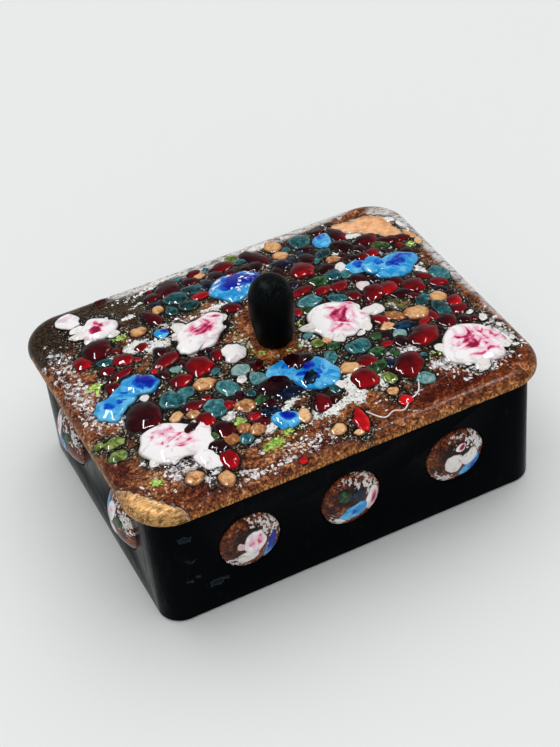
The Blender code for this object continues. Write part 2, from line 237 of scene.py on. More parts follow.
# Soft patches of the lid's ground: x, y and half sizes in mm, turn in degrees and strength
GROUND = {
    "frost": [
        (-58, 24, 4.5, 9, 0, 0.75), (-58, 9, 4.5, 8, 0, 0.85), (-58.5, -3, 3.2, 6, 0, 0.7),
        (-51, -9, 3, 2.5, 0, 0.7), (-45, -35, 5.5, 3.6, 0, 1.0), (-39, -41, 3, 2, 0, 0.7),
        (-4, -35, 7, 2.6, 10, 0.8), (-33, 18, 5, 3.5, 0, 0.8), (-22, 22, 6, 2.4, 0, 0.7),
        (38, -34, 5, 3.6, 20, 1.0), (49, -40, 7, 2.4, 10, 0.8), (58.5, -30, 2.6, 8, 0, 0.9),
        (-30, 43, 5, 3, 0, 0.25), (14, 34, 8, 2.4, 0, 0.6), (55, 4, 5, 2.2, 90, 0.6),
        (-24, -23, 5, 2.6, 20, 0.8), (-15, -45, 14, 2, 8, 0.45), (-44, 17, 4, 3, 0, 0.6),
        (10, 14, 6, 3, 0, 0.45), (24, -25, 5, 3, 0, 0.6), (-28, -47, 9, 1.5, 0, 0.5),
        (30, -24, 3, 3, 0, 0.7), (7, -6, 4, 2.4, 0, 0.6), (-9, 4, 2, 5, 0, 0.5),
        (42, -38, 12, 2.6, 12, 0.5), (-14, -42, 10, 2, 6, 0.4),
    ],
    "milk": [
        (-36.5, 18.5, 4.5, 3.2, 0, 1.0), (-30.5, 15.5, 5, 2.6, 10, 1.0), (-23, 8, 2.4, 5, -20, 0.8),
        (9.5, -31, 3, 7, -10, 1.1), (3, -34.5, 7, 1.8, 15, 1.1), (-11, -28.5, 8, 1.0, 25, 1.0),
        (-18, -33, 5, 1.6, 0, 0.9), (17, -31.5, 4, 6, 0, 0.7), (-17, 46, 7, 1.5, 2, 1.0),
        (17, 45.3, 6, 1.6, 0, 1.0), (43, 33.5, 5, 2.2, -20, 1.0), (-26, -23.5, 5, 1.5, 30, 0.8),
        (41.5, 14, 1.4, 6, 20, 0.9), (-8, 23, 7, 1.4, 0, 0.8), (10, -3, 1.6, 6, 5, 0.5),
        (57.5, -32, 1.6, 6, 10, 0.9), (-27, 38, 3, 0.5, 20, 0.7), (-33, 33, 2.6, 0.6, 10, 0.8),
        (-22, 43.5, 4, 0.6, 10, 0.9), (34, 27, 3, 1.0, -30, 0.8), (53, 8, 1.2, 4, 20, 0.9),
        (44, -24, 3, 0.9, 30, 0.8), (31, -26, 1.0, 4, 0, 0.9), (-40, -2, 3, 0.8, 20, 0.8),
    ],
    "lime": [
        (-53, 9.5, 1.9, 1.9, 0, 1.2), (-24, -27, 2.6, 2.2, 0, 1.0), (-19.5, -38.6, 4.4, 2, 10, 1.1),
        (-14, -36.6, 4, 1.6, 10, 0.8), (-53, -35, 1.8, 1.4, 0, 0.9), (9.6, -1, 1.2, 4, 0, 0.9),
        (57, 21, 2, 1.2, 0, 0.9), (-5.4, -3.4, 1.4, 0.8, 0, 1.1), (-39, 25, 2, 1.4, 0, 0.8),
        (38, -29, 1.8, 1.8, 0, 0.7), (-44, -38, 1.6, 1.2, 0, 0.9), (29, -33, 3, 1, 30, 0.7),
        (-31, 1, 3, 0.9, 0, 0.7), (-48, 7.8, 4, 0.8, 10, 0.7), (4.5, -6.5, 4, 1.6, 10, 0.6),
        (-8.5, 3, 1.6, 5, 0, 0.5),
    ],
    # Painted reflection: grey-white patches along the back and right edges of the rim.
    "painted_sheen": [
        (-22, 47.0, 13, 2.8, 3, 1.1), (2, 46.6, 15, 3.9, 0, 1.5), (24, 47.6, 15, 3.4, 0, 1.3),
        (40, 47.8, 10, 2.8, 0, 1.0), (61.0, 33, 2.8, 8, 0, 0.9), (62.0, 8, 3.0, 24, 0, 0.95),
        (57.5, 41.5, 5, 3.4, -40, 1.0), (62.0, -18, 2.4, 10, 0, 0.6), (-47, 47, 8, 1.8, 0, 0.3),
    ],
    "smoke": [
        (-38, 41, 16, 9, 0, 1.8), (-29, 31, 9, 7, 0, 1.3), (-18, 30, 10, 7, 0, 1.1),
        (-59, 36, 8, 12, 0, 1.6), (-4, 41, 14, 4, 0, 0.8), (-52, 46, 12, 4, 0, 1.3),
        (30, 30, 22, 9, 0, 0.5), (30, -18, 18, 10, 0, 0.55), (-28, -14, 14, 9, 0, 0.6),
        (-44, -14, 6, 5, 0, 0.6), (-45, 29, 11, 7, 0, 1.1), (6, -3, 7, 7, 0, 0.35),
    ],
    "moss": [
        (37, -4, 5.5, 5, 0, 1.0), (-15, 26, 6, 4, 0, 0.7), (12, 22, 7, 4, 0, 0.5),
        (14, -12, 5, 3.5, 0, 0.7), (24, -22, 5, 4, 0, 0.8), (-58, -18, 5, 6, 0, 0.5),
        (-9, 3, 3, 8, 0, 0.6), (6, -6, 6, 3, 0, 0.55),
    ],
    "umber": [
        (34, -42, 30, 6, 0, 1.0), (59, 0, 5, 26, 0, 0.6), (-56, 38, 9, 12, 0, 1.1),
        (-60, 12, 4, 14, 0, 0.6), (-40, -44, 16, 5, 0, 0.9), (-4, -45, 20, 4, 0, 0.8),
        (57, -40, 7, 7, 0, 0.7), (-60, -26, 5, 10, 0, 0.8),
    ],
    "amber": [
        (0, -8, 12, 5, 0, 0.8), (-12, -4, 6, 6, 0, 0.6), (-36, 9, 6, 3, 0, 0.9), (48, -43, 14, 5, 0, 0.7),
        (20, -44, 22, 4, 0, 0.5), (-40, 38, 4, 2.4, 0, 0.8), (8, -36, 10, 3, 0, 0.6),
    ],
}

# Bare copper at two of the lid's corners: the near patch by its edges, each as a place in mm and the
# way in, in degrees, and the far one as round parts
NEAR_PATCH = [(-56.8, -38.0, 209), (-55.6, -42.0, 216)]
FAR_PATCH = [
    Drop(45.2, 38.3, 15.5, 6.4, -24), Drop(51.2, 36.0, 12.5, 10.6, -35), Drop(54.2, 30.6, 10.5, 6.2, -70),
    Drop(59.3, 26.0, 5.4, 2.2, -70),
]

# The white thread's course on the lid, in mm
THREAD = [
    (8.2, -40.2), (9.1, -41.5), (10.8, -44.6), (12.6, -44.8), (14.5, -43.4), (15.8, -43.6), (17, -44.8),
    (18.6, -44.4), (20.8, -42), (22.6, -41.4), (24, -41), (25.6, -39.4), (26.5, -37), (27.8, -35.4),
    (29, -33),
]
THREAD_WIDTH = 0.45 * MM

# Crushed glass: its ground patches, how many grains, and the least size in mm
FRIT = {"white_frit": (("frost", "milk"), 2300, 0.12), "lime_frit": (("lime",), 420, 0.15)}
FRIT_LARGEST = 0.68
FRIT_SPREAD = 0.62
FRIT_LIMIT = (61.5, 47)
FRIT_LIFT = 0.06 * MM

# Glass melted on each disc, as seen from outside: its kind, then x and y as shares of the radius,
# length and width in mm, turn in degrees and shade
DISC_DROPS = {
    "disc_front_1": [
        ("milk_glass", -0.24, -0.34, 6.8, 4.8, 25, 0.2), ("rose_glass", 0.04, 0.16, 6.4, 8.0, -10, 0.1),
        ("sky_glass", 0.56, -0.30, 9.6, 4.0, 66, 0.15), ("milk_glass", -0.42, 0.16, 2.6, 2.0, 70, 0.9),
    ],
    "disc_front_2": [
        ("green_glass", -0.32, 0.42, 4.0, 3.6, 0, 0.35), ("dark_glass", 0.12, 0.32, 5.0, 3.6, 0, 0.6),
        ("sky_glass", -0.02, -0.26, 9.4, 5.8, 22, 0.80), ("rose_glass", 0.62, -0.10, 5.0, 8.4, -12, 0.3),
        ("milk_glass", -0.50, -0.60, 3.6, 2.2, -35, 0.2),
    ],
    "disc_front_3": [
        ("sky_glass", 0.42, -0.46, 9.4, 6.0, 30, 0.9), ("milk_glass", -0.22, -0.02, 5.6, 6.8, 0, 0.1),
        ("milk_glass", 0.36, 0.02, 6.0, 5.4, 0, 0.15), ("rose_glass", 0.07, 0.50, 3.4, 2.2, 20, 0.1),
    ],
    "disc_left_1": [
        ("sky_glass", -0.50, 0.06, 12.0, 5.0, 82, 0.95), ("rose_glass", -0.10, 0.40, 7.4, 4.8, 70, 0.2),
        ("milk_glass", -0.08, -0.24, 6.4, 4.8, 40, 0.8), ("green_glass", 0.40, 0.30, 3.6, 3.2, 0, 0.2),
    ],
    "disc_left_2": [
        ("milk_glass", -0.62, 0.20, 9.6, 3.6, 96, 0.1), ("rose_glass", -0.28, 0.36, 7.0, 5.0, 80, 0.15),
        ("sky_glass", -0.10, -0.30, 9.4, 5.4, 60, 0.7), ("dark_glass", 0.16, 0.24, 3.6, 3.0, 0, 0.6),
        ("green_glass", 0.42, 0.36, 3.6, 2.8, 30, 0.15),
    ],
}

# Glass on a disc that doesn't show, with its greatest length before it varies, in mm
HIDDEN_DISC_DROPS = {"sky_glass": 10.4, "rose_glass": 8.6, "milk_glass": 7.0, "green_glass": 4.0}

# Soft patches of a disc's ground: x, y and half sizes as shares of its radius, turn and strength
DISC_GROUND = {
    "frost": [(0.64, 0.46, 0.5, 0.30, -45, 1.35), (-0.56, -0.62, 0.44, 0.24, -38, 1.2),
              (0.1, 0.80, 0.4, 0.2, 0, 0.7)],
    "night": [(-0.10, 0.35, 0.6, 0.4, 10, 0.9), (-0.75, -0.1, 0.3, 0.5, 0, 0.5)],
}


def clear_selection():
    if bpy.context.object is not None and bpy.context.object.mode != "OBJECT":
        bpy.ops.object.mode_set(mode="OBJECT")
    bpy.ops.object.select_all(action="DESELECT")


def activate(thing):
    """Make this the only selected object, and the active one."""
    clear_selection()
    thing.select_set(True)
    bpy.context.view_layer.objects.active = thing


def add_object(name, data):
    made = bpy.data.objects.new(name, data)
    bpy.context.scene.collection.objects.link(made)
    return made


def linear(red, green, blue):
    """A colour given as it looks on a screen, 0 to 255, as the shader's linear colour."""
    parts = []
    for part in (red, green, blue):
        share = part / 255
        parts.append(share / 12.92 if share <= 0.04045 else ((share + 0.055) / 1.055) ** 2.4)
    return (*parts, 1.0)


class Value:
    """A socket in a material's nodes, so that shader maths reads as Python."""

    def __init__(self, coat, socket):
        self.coat = coat
        self.socket = socket

    def math(self, operation, *others, first=False):
        values = (*others, self) if first else (self, *others)
        return self.coat.node("ShaderNodeMath", dict(enumerate(values)), operation=operation)

    def __add__(self, other):
        return self.math("ADD", other)

    def __sub__(self, other):
        return self.math("SUBTRACT", other)

    def __rsub__(self, other):
        return self.math("SUBTRACT", other, first=True)

    def __mul__(self, other):
        return self.math("MULTIPLY", other)

    def __abs__(self):
        return self.math("ABSOLUTE")

    def larger(self, other):
        return self.math("MAXIMUM", other)

    def rise(self, low, high):
        """0 below low, 1 above high and a smooth step between. It falls if low is above high."""
        inputs = {"Value": self, "From Min": low, "From Max": high}
        return self.coat.node("ShaderNodeMapRange", inputs, interpolation_type="SMOOTHSTEP")


class Coat:
    """A material with its Principled shader. Its colours are laid over each other, first to last."""

    def __init__(self, name, **constants):
        self.material = bpy.data.materials.new(name)
        self.material.use_nodes = True
        self.tree = self.material.node_tree
        self.shader = self.tree.nodes["Principled BSDF"]
        for socket, value in constants.items():
            self.shader.inputs[socket.replace("_", " ")].default_value = value
        self.place = self.node("ShaderNodeTexCoord", output="Object")
        self.top = None

    def node(self, kind, inputs=None, output=0, stops=(), **settings):
        made = self.tree.nodes.new(kind)
        for name, value in settings.items():
            setattr(made, name, value)
        for number, (position, colour) in enumerate(stops):
            elements = made.color_ramp.elements
            element = elements[number] if number < len(elements) else elements.new(1.0)
            element.position = position
            element.color = linear(*colour)
        for socket, value in (inputs or {}).items():
            self.plug(made.inputs[socket], value)
        return Value(self, made.outputs[output])

    def plug(self, socket, value):
        if isinstance(value, Value):
            self.tree.links.new(value.socket, socket)
        else:
            socket.default_value = value

    def set(self, **values):
        """Give sockets of the Principled shader a value that varies over the piece."""
        for socket, value in values.items():
            self.plug(self.shader.inputs[socket.replace("_", " ")], value)

    def layer(self, name, output="Fac"):
        """A value that the mesh holds under this name."""
        return self.node("ShaderNodeAttribute", output=output, attribute_name=name)

    def noise(self, size, detail=3.0, roughness=0.5, distortion=0.0, where=None):
        """Smooth noise round 0.5, with features of about that size in mm."""
        inputs = {"Vector": where or self.place, "Scale": 1 / (size * MM), "Detail": detail}
        inputs |= {"Roughness": roughness, "Distortion": distortion}
        return self.node("ShaderNodeTexNoise", inputs)

    def cells(self, size, output="Distance", where=None):
        inputs = {"Vector": where or self.place, "Scale": 1 / (size * MM)}
        return self.node("ShaderNodeTexVoronoi", inputs, output=output, feature="F1")

    def grains(self, size, where=None):
        """A random number from 0 to 1 for each grain of about that size in mm."""
        colour = self.cells(size, output="Color", where=where)
        return self.node("ShaderNodeSeparateColor", {"Color": colour}, output="Red")

    def ramp(self, value, *stops):
        return self.node("ShaderNodeValToRGB", {"Fac": value}, stops=stops)

    def mix(self, first, second, share, blend="MIX"):
        """One colour turned into another by a share. A colour is a Value, or red, green and blue to 255."""
        inputs = {0: share}
        for socket, colour in ((6, first), (7, second)):
            inputs[socket] = colour if isinstance(colour, Value) else linear(*colour)
        return self.node("ShaderNodeMix", inputs, output=2, data_type="RGBA", blend_type=blend)

    def lay(self, colour, share=1.0, blend="MIX"):
        """Lay a colour over the ones before, by a share."""
        self.top = colour if self.top is None else self.mix(self.top, colour, share, blend)
        self.set(Base_Color=self.top)

    def vector(self, operation, *values, output=0):
        inputs = dict(enumerate(values))
        return self.node("ShaderNodeVectorMath", inputs, output=output, operation=operation)

    def stretched(self, x, y, z):
        """The place on the piece, with each direction scaled."""
        return self.vector("MULTIPLY", self.place, (x, y, z))

    def shaken(self, amount):
        """The place on the piece, pushed about by fine noise by up to some mm, for ragged grains."""
        inputs = {"Vector": self.place, "Scale": 1 / (SHAKE_SIZE * MM), "Detail": 2.0}
        push = self.node("ShaderNodeTexNoise", inputs, output="Color")
        return self.vector("MULTIPLY_ADD", push, (amount * MM,) * 3, self.place)

    def facing(self, axis):
        normal = self.node("ShaderNodeTexCoord", output="Normal")
        return self.node("ShaderNodeSeparateXYZ", {"Vector": normal}, output=axis)

    def bump(self, height, depth, strength):
        inputs = {"Height": height, "Distance": depth * MM, "Strength": strength}
        self.set(Normal=self.node("ShaderNodeBump", inputs))


def lacquer_coat():
    coat = Coat("black_lacquer", IOR=1.07)
    brush = coat.noise(1.1, 4, 0.6, where=coat.stretched(1.0, 1.0, 0.12))
    waves = coat.noise(12, 2, 0.5)
    worn = (coat.noise(7, 3, 0.55, 0.6) * 0.7 + brush * 0.4).rise(0.60, 0.76)
    ragged = coat.cells(9, where=coat.stretched(0.6, 1.0, 1.3)) + coat.noise(1.8, 3, 0.6) * 0.5
    chips = ragged.rise(0.46, 0.42) * ragged.rise(0.30, 0.40).larger(0.45)
    across = coat.node("ShaderNodeSeparateXYZ", {"Vector": coat.place}, output="X")
    chips = chips * across.rise(-0.030, -0.042).larger(across.rise(0.048, 0.055))
    chips = chips * coat.facing("Y").rise(-0.70, -0.95)
    ends = abs(coat.facing("X")).rise(0.55, 0.95)
    # The lighter grey-blue streaks on the walls facing the ends are painted reflection.
    painted_reflection_streaks = coat.noise(1.6, 4, 0.65, 0.4, where=coat.stretched(1.0, 1.0, 0.16)).rise(0.50, 0.72)
    coat.lay(coat.mix((3, 5, 7), (12, 16, 20), worn * 0.6))
    coat.lay((30, 38, 44), ends * painted_reflection_streaks * 0.6)
    coat.lay((46, 58, 66), chips * 0.55)
    coat.set(Roughness=brush.rise(0.35, 0.75) * 0.22 + chips * 0.2 + 0.06)
    coat.bump(waves * 0.8 + brush * 0.12 + painted_reflection_streaks * ends * 0.14 - chips * 0.10, 0.6, 0.4)
    return coat.material


def knob_coat():
    coat = Coat("knob_lacquer", IOR=1.13)
    grain = coat.noise(0.6, 4, 0.6, where=coat.stretched(1.0, 1.0, 0.12))
    # Painted reflection: the head's upward faces are painted a lighter teal, mottled by the grain.
    head = coat.facing("Z").rise(0.15, 0.5) * grain.rise(0.40, 0.70)
    coat.lay(coat.mix((3, 4, 4), (20, 29, 31), head * 0.75))
    coat.set(Roughness=grain.rise(0.3, 0.8) * 0.2 + 0.36)
    coat.bump(grain, 0.1, 0.4)
    return coat.material


def glass(name, roughness=0.03):
    """A glass coat, with 0 at a drop's middle and 1 at its edge, and the drop's shade."""
    coat = Coat(name, Roughness=roughness, IOR=1.42)
    return coat, coat.vector("LENGTH", flat_spot(coat), output="Value"), coat.layer("tint")


def flat_spot(coat):
    """The place on a drop seen from above, where its edge is at 1."""
    return coat.vector("MULTIPLY", coat.layer("drop", "Vector"), (1, 1, 0))


def distance_from(coat, x, y):
    return coat.vector("DISTANCE", flat_spot(coat), (x, y, 0), output="Value")


def sky_glass(name):
    coat, radius, tint = glass(name)
    broad = coat.noise(6.0, 2, 0.5, 0.8)
    wisps = coat.noise(2.6, 2, 0.5, 1.0)
    coat.lay(coat.mix((24, 140, 206), (110, 196, 238), (wisps * 0.5 + broad * 0.5).rise(0.40, 0.60)))
    deep = distance_from(coat, 0.25, 0.15).rise(1.1, 0.1) * 0.30
    share = broad * 0.8 + wisps * 0.3 + deep - tint * 0.26
    coat.lay((10, 84, 196), share.rise(0.52, 0.60))
    coat.lay((6, 26, 148), share.rise(0.61, 0.70))
    flakes = coat.grains(0.9, where=coat.shaken(0.5)).rise(0.72, 0.76)
    flakes = flakes * coat.noise(5, 2).rise(0.46, 0.54) * tint.rise(0.42, 0.32)
    coat.lay((228, 238, 246), flakes * 0.95)
    coat.lay((4, 30, 52), radius.rise(0.88, 1.0) * 0.8)
    coat.bump(wisps, 0.1, 0.15)
    return coat.material


def rose_glass(name):
    coat, radius, tint = glass(name)
    swirl = coat.noise(6.5, 1.5, 0.5, 2.2)
    cloud = coat.noise(4.2, 2, 0.5, 0.8)
    fleck = coat.noise(1.6, 3, 0.55, 0.6)
    bloom = distance_from(coat, 0.15, 0.06).rise(1.15, 0.1) * tint.rise(1.0, 0.1)
    heat = swirl + cloud * 0.35 + fleck * 0.16 + bloom * 0.42 - 0.10
    coat.lay(coat.mix((246, 242, 242), (204, 190, 198), cloud.rise(0.50, 0.72) * 0.8))
    coat.lay((238, 168, 194), heat.rise(0.78, 1.02) * bloom.rise(0.0, 0.35) * 0.85)
    stroke = heat.rise(0.97, 1.05) * bloom.rise(0.08, 0.4)
    coat.lay((206, 52, 106), stroke * 0.92)
    coat.lay((126, 8, 40), heat.rise(1.05, 1.13) * bloom.rise(0.15, 0.5) * 0.9)
    coat.lay((96, 78, 62), radius.rise(0.90, 1.0) * 0.7)
    coat.bump(cloud * 0.6 - stroke * 0.3, 0.15, 0.3)
    return coat.material


def ruby_glass(name):
    coat, radius, tint = glass(name)
    cloud = coat.noise(3.6, 2, 0.5, 0.6)
    # Painted light: each drop is painted lighter on the side that faces the front, and a little on the side
    # facing right.
    painted_lit_side = coat.facing("Y") * -0.8 + coat.facing("X") * 0.25
    coat.lay(coat.ramp(
        tint * 0.8 + cloud * 0.6 - 0.30 + painted_lit_side * 0.6,
        (0.05, (30, 2, 6)), (0.30, (62, 1, 8)), (0.55, (118, 2, 10)), (0.80, (178, 6, 16)),
        (1.00, (222, 26, 26)),
    ))
    coat.lay((16, 2, 4), radius.rise(0.80, 0.97) * 0.85)
    return coat.material


def dark_glass(name):
    coat, _radius, tint = glass(name)
    streak = coat.noise(3.2, 2, 0.5, 1.0)
    coat.lay(coat.mix((20, 3, 7), (52, 8, 16), streak.rise(0.42, 0.66)))
    coat.lay(coat.mix((6, 12, 32), (14, 58, 92), streak.rise(0.45, 0.68)), tint.rise(0.35, 0.60))
    return coat.material


def gold_glass(name):
    coat, radius, tint = glass(name, 0.07)
    cloud = coat.noise(1.8, 3, 0.55, 0.8)
    streak = coat.noise(0.7, 3, 0.6, 0.8, where=coat.stretched(0.45, 1.0, 1.0))
    coat.lay(coat.mix((150, 92, 50), (226, 176, 122), (cloud + tint * 0.5).rise(0.50, 0.85)))
    coat.lay((244, 208, 160), tint.rise(0.65, 1.0) * 0.6)
    coat.lay((120, 66, 30), streak.rise(0.50, 0.66) * 0.6)
    coat.lay((150, 76, 26), radius.rise(0.62, 0.88) * 0.75)
    coat.lay((34, 18, 9), radius.rise(0.84, 0.97) * 0.9)
    coat.bump(streak, 0.1, 0.25)
    return coat.material


def teal_glass(name):
    coat, radius, tint = glass(name)
    cloud = coat.noise(2.6, 3, 0.6, 1.4)
    wisp = abs(coat.noise(2.0, 3, 0.6, 1.6) - 0.5).rise(0.035, 0.0)
    coat.lay(coat.ramp(
        tint * 0.75 + cloud * 1.3 - 0.52,
        (0.05, (12, 28, 24)), (0.32, (24, 74, 82)), (0.58, (62, 128, 134)), (0.95, (156, 184, 176)),
    ))
    coat.lay((16, 34, 32), wisp * 0.5)
    coat.lay((120, 150, 138), radius.rise(0.72, 0.84) * radius.rise(0.94, 0.86) * 0.2)
    coat.lay((9, 20, 18), radius.rise(0.84, 0.98) * 0.9)
    return coat.material


def green_glass(name):
    coat, radius, tint = glass(name)
    cloud = coat.noise(1.6, 3, 0.6, 1.0).rise(0.4, 0.65)
    coat.lay(coat.mix((22, 40, 22), (52, 100, 52), cloud))
    coat.lay(coat.mix((78, 92, 36), (150, 168, 92), cloud), tint.rise(0.35, 0.65))
    coat.lay((20, 26, 12), radius.rise(0.84, 1.0) * 0.8)
    return coat.material


def milk_glass(name):
    coat, radius, tint = glass(name, 0.07)
    cloud = coat.noise(2.0, 3, 0.6, 0.8)
    coat.lay(coat.mix((232, 228, 224), (180, 166, 158), cloud.rise(0.48, 0.74)))
    coat.lay((206, 150, 160), tint.rise(0.72, 0.95) * 0.6)
    coat.lay((104, 90, 76), radius.rise(0.90, 1.0) * 0.65)
    return coat.material


def white_frit(name, light=(240, 240, 238), dark=(196, 190, 184)):
    coat = Coat(name, Roughness=0.22)
    coat.lay(coat.mix(dark, light, coat.grains(0.9).rise(0.1, 0.7)))
    return coat.material


def lime_frit(name):
    return white_frit(name, (196, 228, 120), (110, 146, 44))


def lay_copper(coat):
    """Clear enamel over copper, full of brown and golden grain. Gives its shade and its fine grain."""
    grain = coat.grains(0.62, where=coat.shaken(0.3))
    fine = coat.grains(0.30)
    cloud = coat.noise(3.4, 4, 0.62, 0.8)
    shade = grain * 0.36 + fine * 0.18 + cloud * 1.25 - 0.36
    coat.lay(coat.ramp(
        shade,
        (0.16, (26, 11, 6)), (0.36, (74, 33, 19)), (0.54, (122, 66, 38)), (0.70, (166, 102, 58)),
        (0.90, (226, 178, 122)),
    ))
    return shade, fine


def lid_ground(name):
    coat = Coat(name, IOR=1.28)
    shade, fine = lay_copper(coat)
    speck = coat.grains(0.34)
    flake = coat.grains(1.15, where=coat.shaken(0.8))
    crumb = coat.noise(0.8, 3, 0.65, 0.8)
    edge = coat.noise(1.3, 3, 0.6) - 0.5
    warm = coat.mix(coat.top, (255, 178, 92), 1.0, blend="MULTIPLY")
    coat.lay(coat.mix(warm, (206, 132, 60), fine * 0.5), coat.layer("amber") * 0.7)
    coat.lay((160, 112, 108), (coat.layer("umber") + edge * 0.5).rise(0.15, 0.85), blend="MULTIPLY")
    moss = (coat.layer("moss") + edge * 0.8).rise(0.30, 0.75)
    coat.lay(coat.mix((26, 30, 14), (124, 130, 66), (fine * 0.6 + crumb).rise(0.62, 1.0)), moss * 0.85)
    smoke = (coat.layer("smoke") + edge * 0.7).rise(0.25, 1.0)
    coat.lay(coat.mix((16, 13, 11), (76, 62, 40), (fine * 0.5 + crumb).rise(0.66, 1.02)), smoke * 0.93)

    crowd = (coat.layer("crowd") + edge * 0.4).rise(0.16, 0.52)
    grit = coat.mix((92, 58, 32), (70, 76, 36), coat.noise(9, 2, 0.5).rise(0.42, 0.62))
    deep = coat.mix((7, 6, 5), grit, (fine * 0.4 + crumb * 0.8 + edge * 0.8).rise(0.62, 1.0))
    coat.lay(deep, crowd * 0.94)
    # White and lime specks between crowded drops: partly specks of glass, partly painted glints.
    specks_and_painted_glints = speck.rise(0.80, 0.84) * crowd * crumb.rise(0.46, 0.56)
    coat.lay(coat.mix((132, 148, 80), (232, 232, 226), fine.rise(0.15, 0.6)), specks_and_painted_glints * 0.85)
    # A near-black band round each drop's foot: partly dark enamel, partly painted shade.
    dark_enamel_and_shade = coat.layer("dark_enamel_and_shade")
    coat.lay((6, 5, 4), (dark_enamel_and_shade + edge * 0.3).rise(0.38, 0.78) * 0.9)

    roll = coat.layer("roll")
    teeth = coat.noise(0.55, 3, 0.6, where=coat.stretched(1.0, 1.0, 0.45))
    lip = coat.mix((84, 38, 10), (226, 152, 64), teeth.rise(0.44, 0.60))
    coat.lay(lip, (roll + edge * 0.25).rise(0.70, 0.95) * 0.9)
    # The grey-white streaks along the back and right edges of the rim are painted reflection.
    streak = coat.noise(1.2, 4, 0.65, 0.5, where=coat.stretched(0.35, 0.8, 1.0))
    painted_sheen = coat.mix((92, 80, 76), (218, 214, 210), streak.rise(0.32, 0.58))
    coat.lay(painted_sheen, (coat.layer("painted_sheen") + edge * 0.6).rise(0.22, 0.70) * 0.92)

    frost = coat.layer("frost")
    drift = coat.noise(6.5, 3, 0.6, 0.8).rise(0.52, 0.66) * (1 - roll) * (1 - smoke) * 0.5
    sugar = (flake * 0.6 + crumb * 0.4 + frost.larger(drift) * 0.42).rise(0.84, 0.90)
    powder = (speck * 0.6 + crumb * 0.4 + frost * 0.30).rise(0.86, 0.90)
    white = coat.mix((158, 148, 152), (238, 238, 240), coat.grains(1.0))
    coat.lay(white, sugar.larger(powder * 0.5) * (1 - dark_enamel_and_shade * 0.5))
    milk = (coat.layer("milk") + edge * 1.3).rise(0.50, 0.58)
    coat.lay((228, 228, 224), milk * (1 - coat.noise(0.9, 2, 0.5).rise(0.60, 0.66)))
    lime = (coat.layer("lime") * 0.8 + crumb * 0.6 + flake * 0.25).rise(0.88, 0.96)
    coat.lay(coat.mix((92, 124, 34), (184, 218, 106), fine), lime)

    rind = coat.layer("bare") + edge * 0.9
    bare = rind.rise(0.44, 0.56)
    turned = {"Vector": coat.place, "Rotation": (0, 0, math.radians(FIBRE_TURN)), "Scale": (0.22, 1.0, 1.0)}
    fibre = coat.noise(0.6, 5, 0.7, 0.5, where=coat.node("ShaderNodeMapping", turned))
    tone = coat.noise(3.0, 3, 0.6)
    metal = coat.mix((108, 70, 30), (196, 150, 92), (fibre + tone * 0.8).rise(0.74, 1.02))
    # The near-white light fibres are partly the copper's grain and partly painted highlight.
    metal = coat.mix(metal, (246, 206, 156), fibre.rise(0.52, 0.66) * 0.8)
    peach = coat.mix((218, 152, 100), (244, 188, 140), tone.rise(0.35, 0.6))
    coat.lay(coat.mix(metal, peach, coat.layer("peach")), bare)
    # A dark ring just outside the bare copper: painted shadow of its raised crust.
    coat.lay((34, 22, 14), rind.rise(0.04, 0.16) * rind.rise(0.40, 0.26) * 0.7)
    crust = rind.rise(0.26, 0.40) * rind.rise(0.58, 0.46)
    coat.lay((206, 184, 160), crust * crumb.rise(0.42, 0.56) * 0.8)
    coat.set(Metallic=bare * (1 - coat.layer("peach")) * 0.3)
    coat.set(Roughness=bare * 0.2 + frost * 0.06 + roll * 0.3 + 0.15)
    coat.bump(shade * 0.5 + sugar * 0.5 + milk * 0.4 + fibre * bare * 0.5 + crust, 0.2, 0.45)
    return coat.material


def counter_enamel(name):
    """The plain brown-black enamel under the lid."""
    coat = Coat(name, Roughness=0.25)
    grain = coat.noise(1.4, 4, 0.6)
    coat.lay(coat.mix((24, 16, 12), (66, 42, 28), grain.rise(0.4, 0.7)))
    coat.bump(grain, 0.1, 0.3)
    return coat.material


def disc_ground(name):
    coat = Coat(name, Roughness=0.10, IOR=1.3)
    shade, fine = lay_copper(coat)
    crumb = coat.noise(0.8, 3, 0.65, 0.8)
    flake = coat.grains(0.75, where=coat.shaken(0.6))
    coat.lay((206, 174, 168), blend="MULTIPLY")
    coat.lay((12, 8, 7), (coat.layer("night") + crumb * 0.6 - 0.3).rise(0.15, 0.6) * 0.9)
    sugar = (flake * 0.6 + crumb * 0.4 + coat.layer("frost") * 0.42).rise(0.84, 0.90)
    coat.lay(coat.mix((180, 172, 168), (240, 240, 238), fine), sugar)
    coat.bump(shade * 0.4 + sugar * 0.5, 0.15, 0.4)
    return coat.material


COATS = {
    "copper_enamel": lid_ground, "counter_enamel": counter_enamel, "disc_enamel": disc_ground,
    "sky_glass": sky_glass, "rose_glass": rose_glass, "ruby_glass": ruby_glass, "dark_glass": dark_glass,
    "gold_glass": gold_glass, "teal_glass": teal_glass, "green_glass": green_glass,
    "milk_glass": milk_glass, "white_frit": white_frit, "lime_frit": lime_frit,
}


def turned(x, y, degrees):
    """A place turned round the origin."""
    angle = math.radians(degrees)
    return x * math.cos(angle) - y * math.sin(angle), x * math.sin(angle) + y * math.cos(angle)


def shape_arrays(thing):
    """A mesh's points as an array, and its faces."""
    points = np.zeros(len(thing.data.vertices) * 3)
    thing.data.vertices.foreach_get("co", points)
    faces = [tuple(face.vertices) for face in thing.data.polygons]
    return points.reshape(-1, 3), faces


def take_shape():
    """The active object's points and faces. The object itself goes."""
    thing = bpy.context.object
    shape = shape_arrays(thing)
    bpy.data.objects.remove(thing)
    return shape


def model_drop(segments, rings):
    """One melted drop, 2 across and 1 high over its waist."""
    clear_selection()
    bpy.ops.mesh.primitive_uv_sphere_add(segments=segments, ring_count=rings, radius=1.0)
    points, faces = take_shape()
    points[:, 2] = np.where(points[:, 2] > 0, np.abs(points[:, 2]) ** SOFTNESS, points[:, 2])
    return points, faces


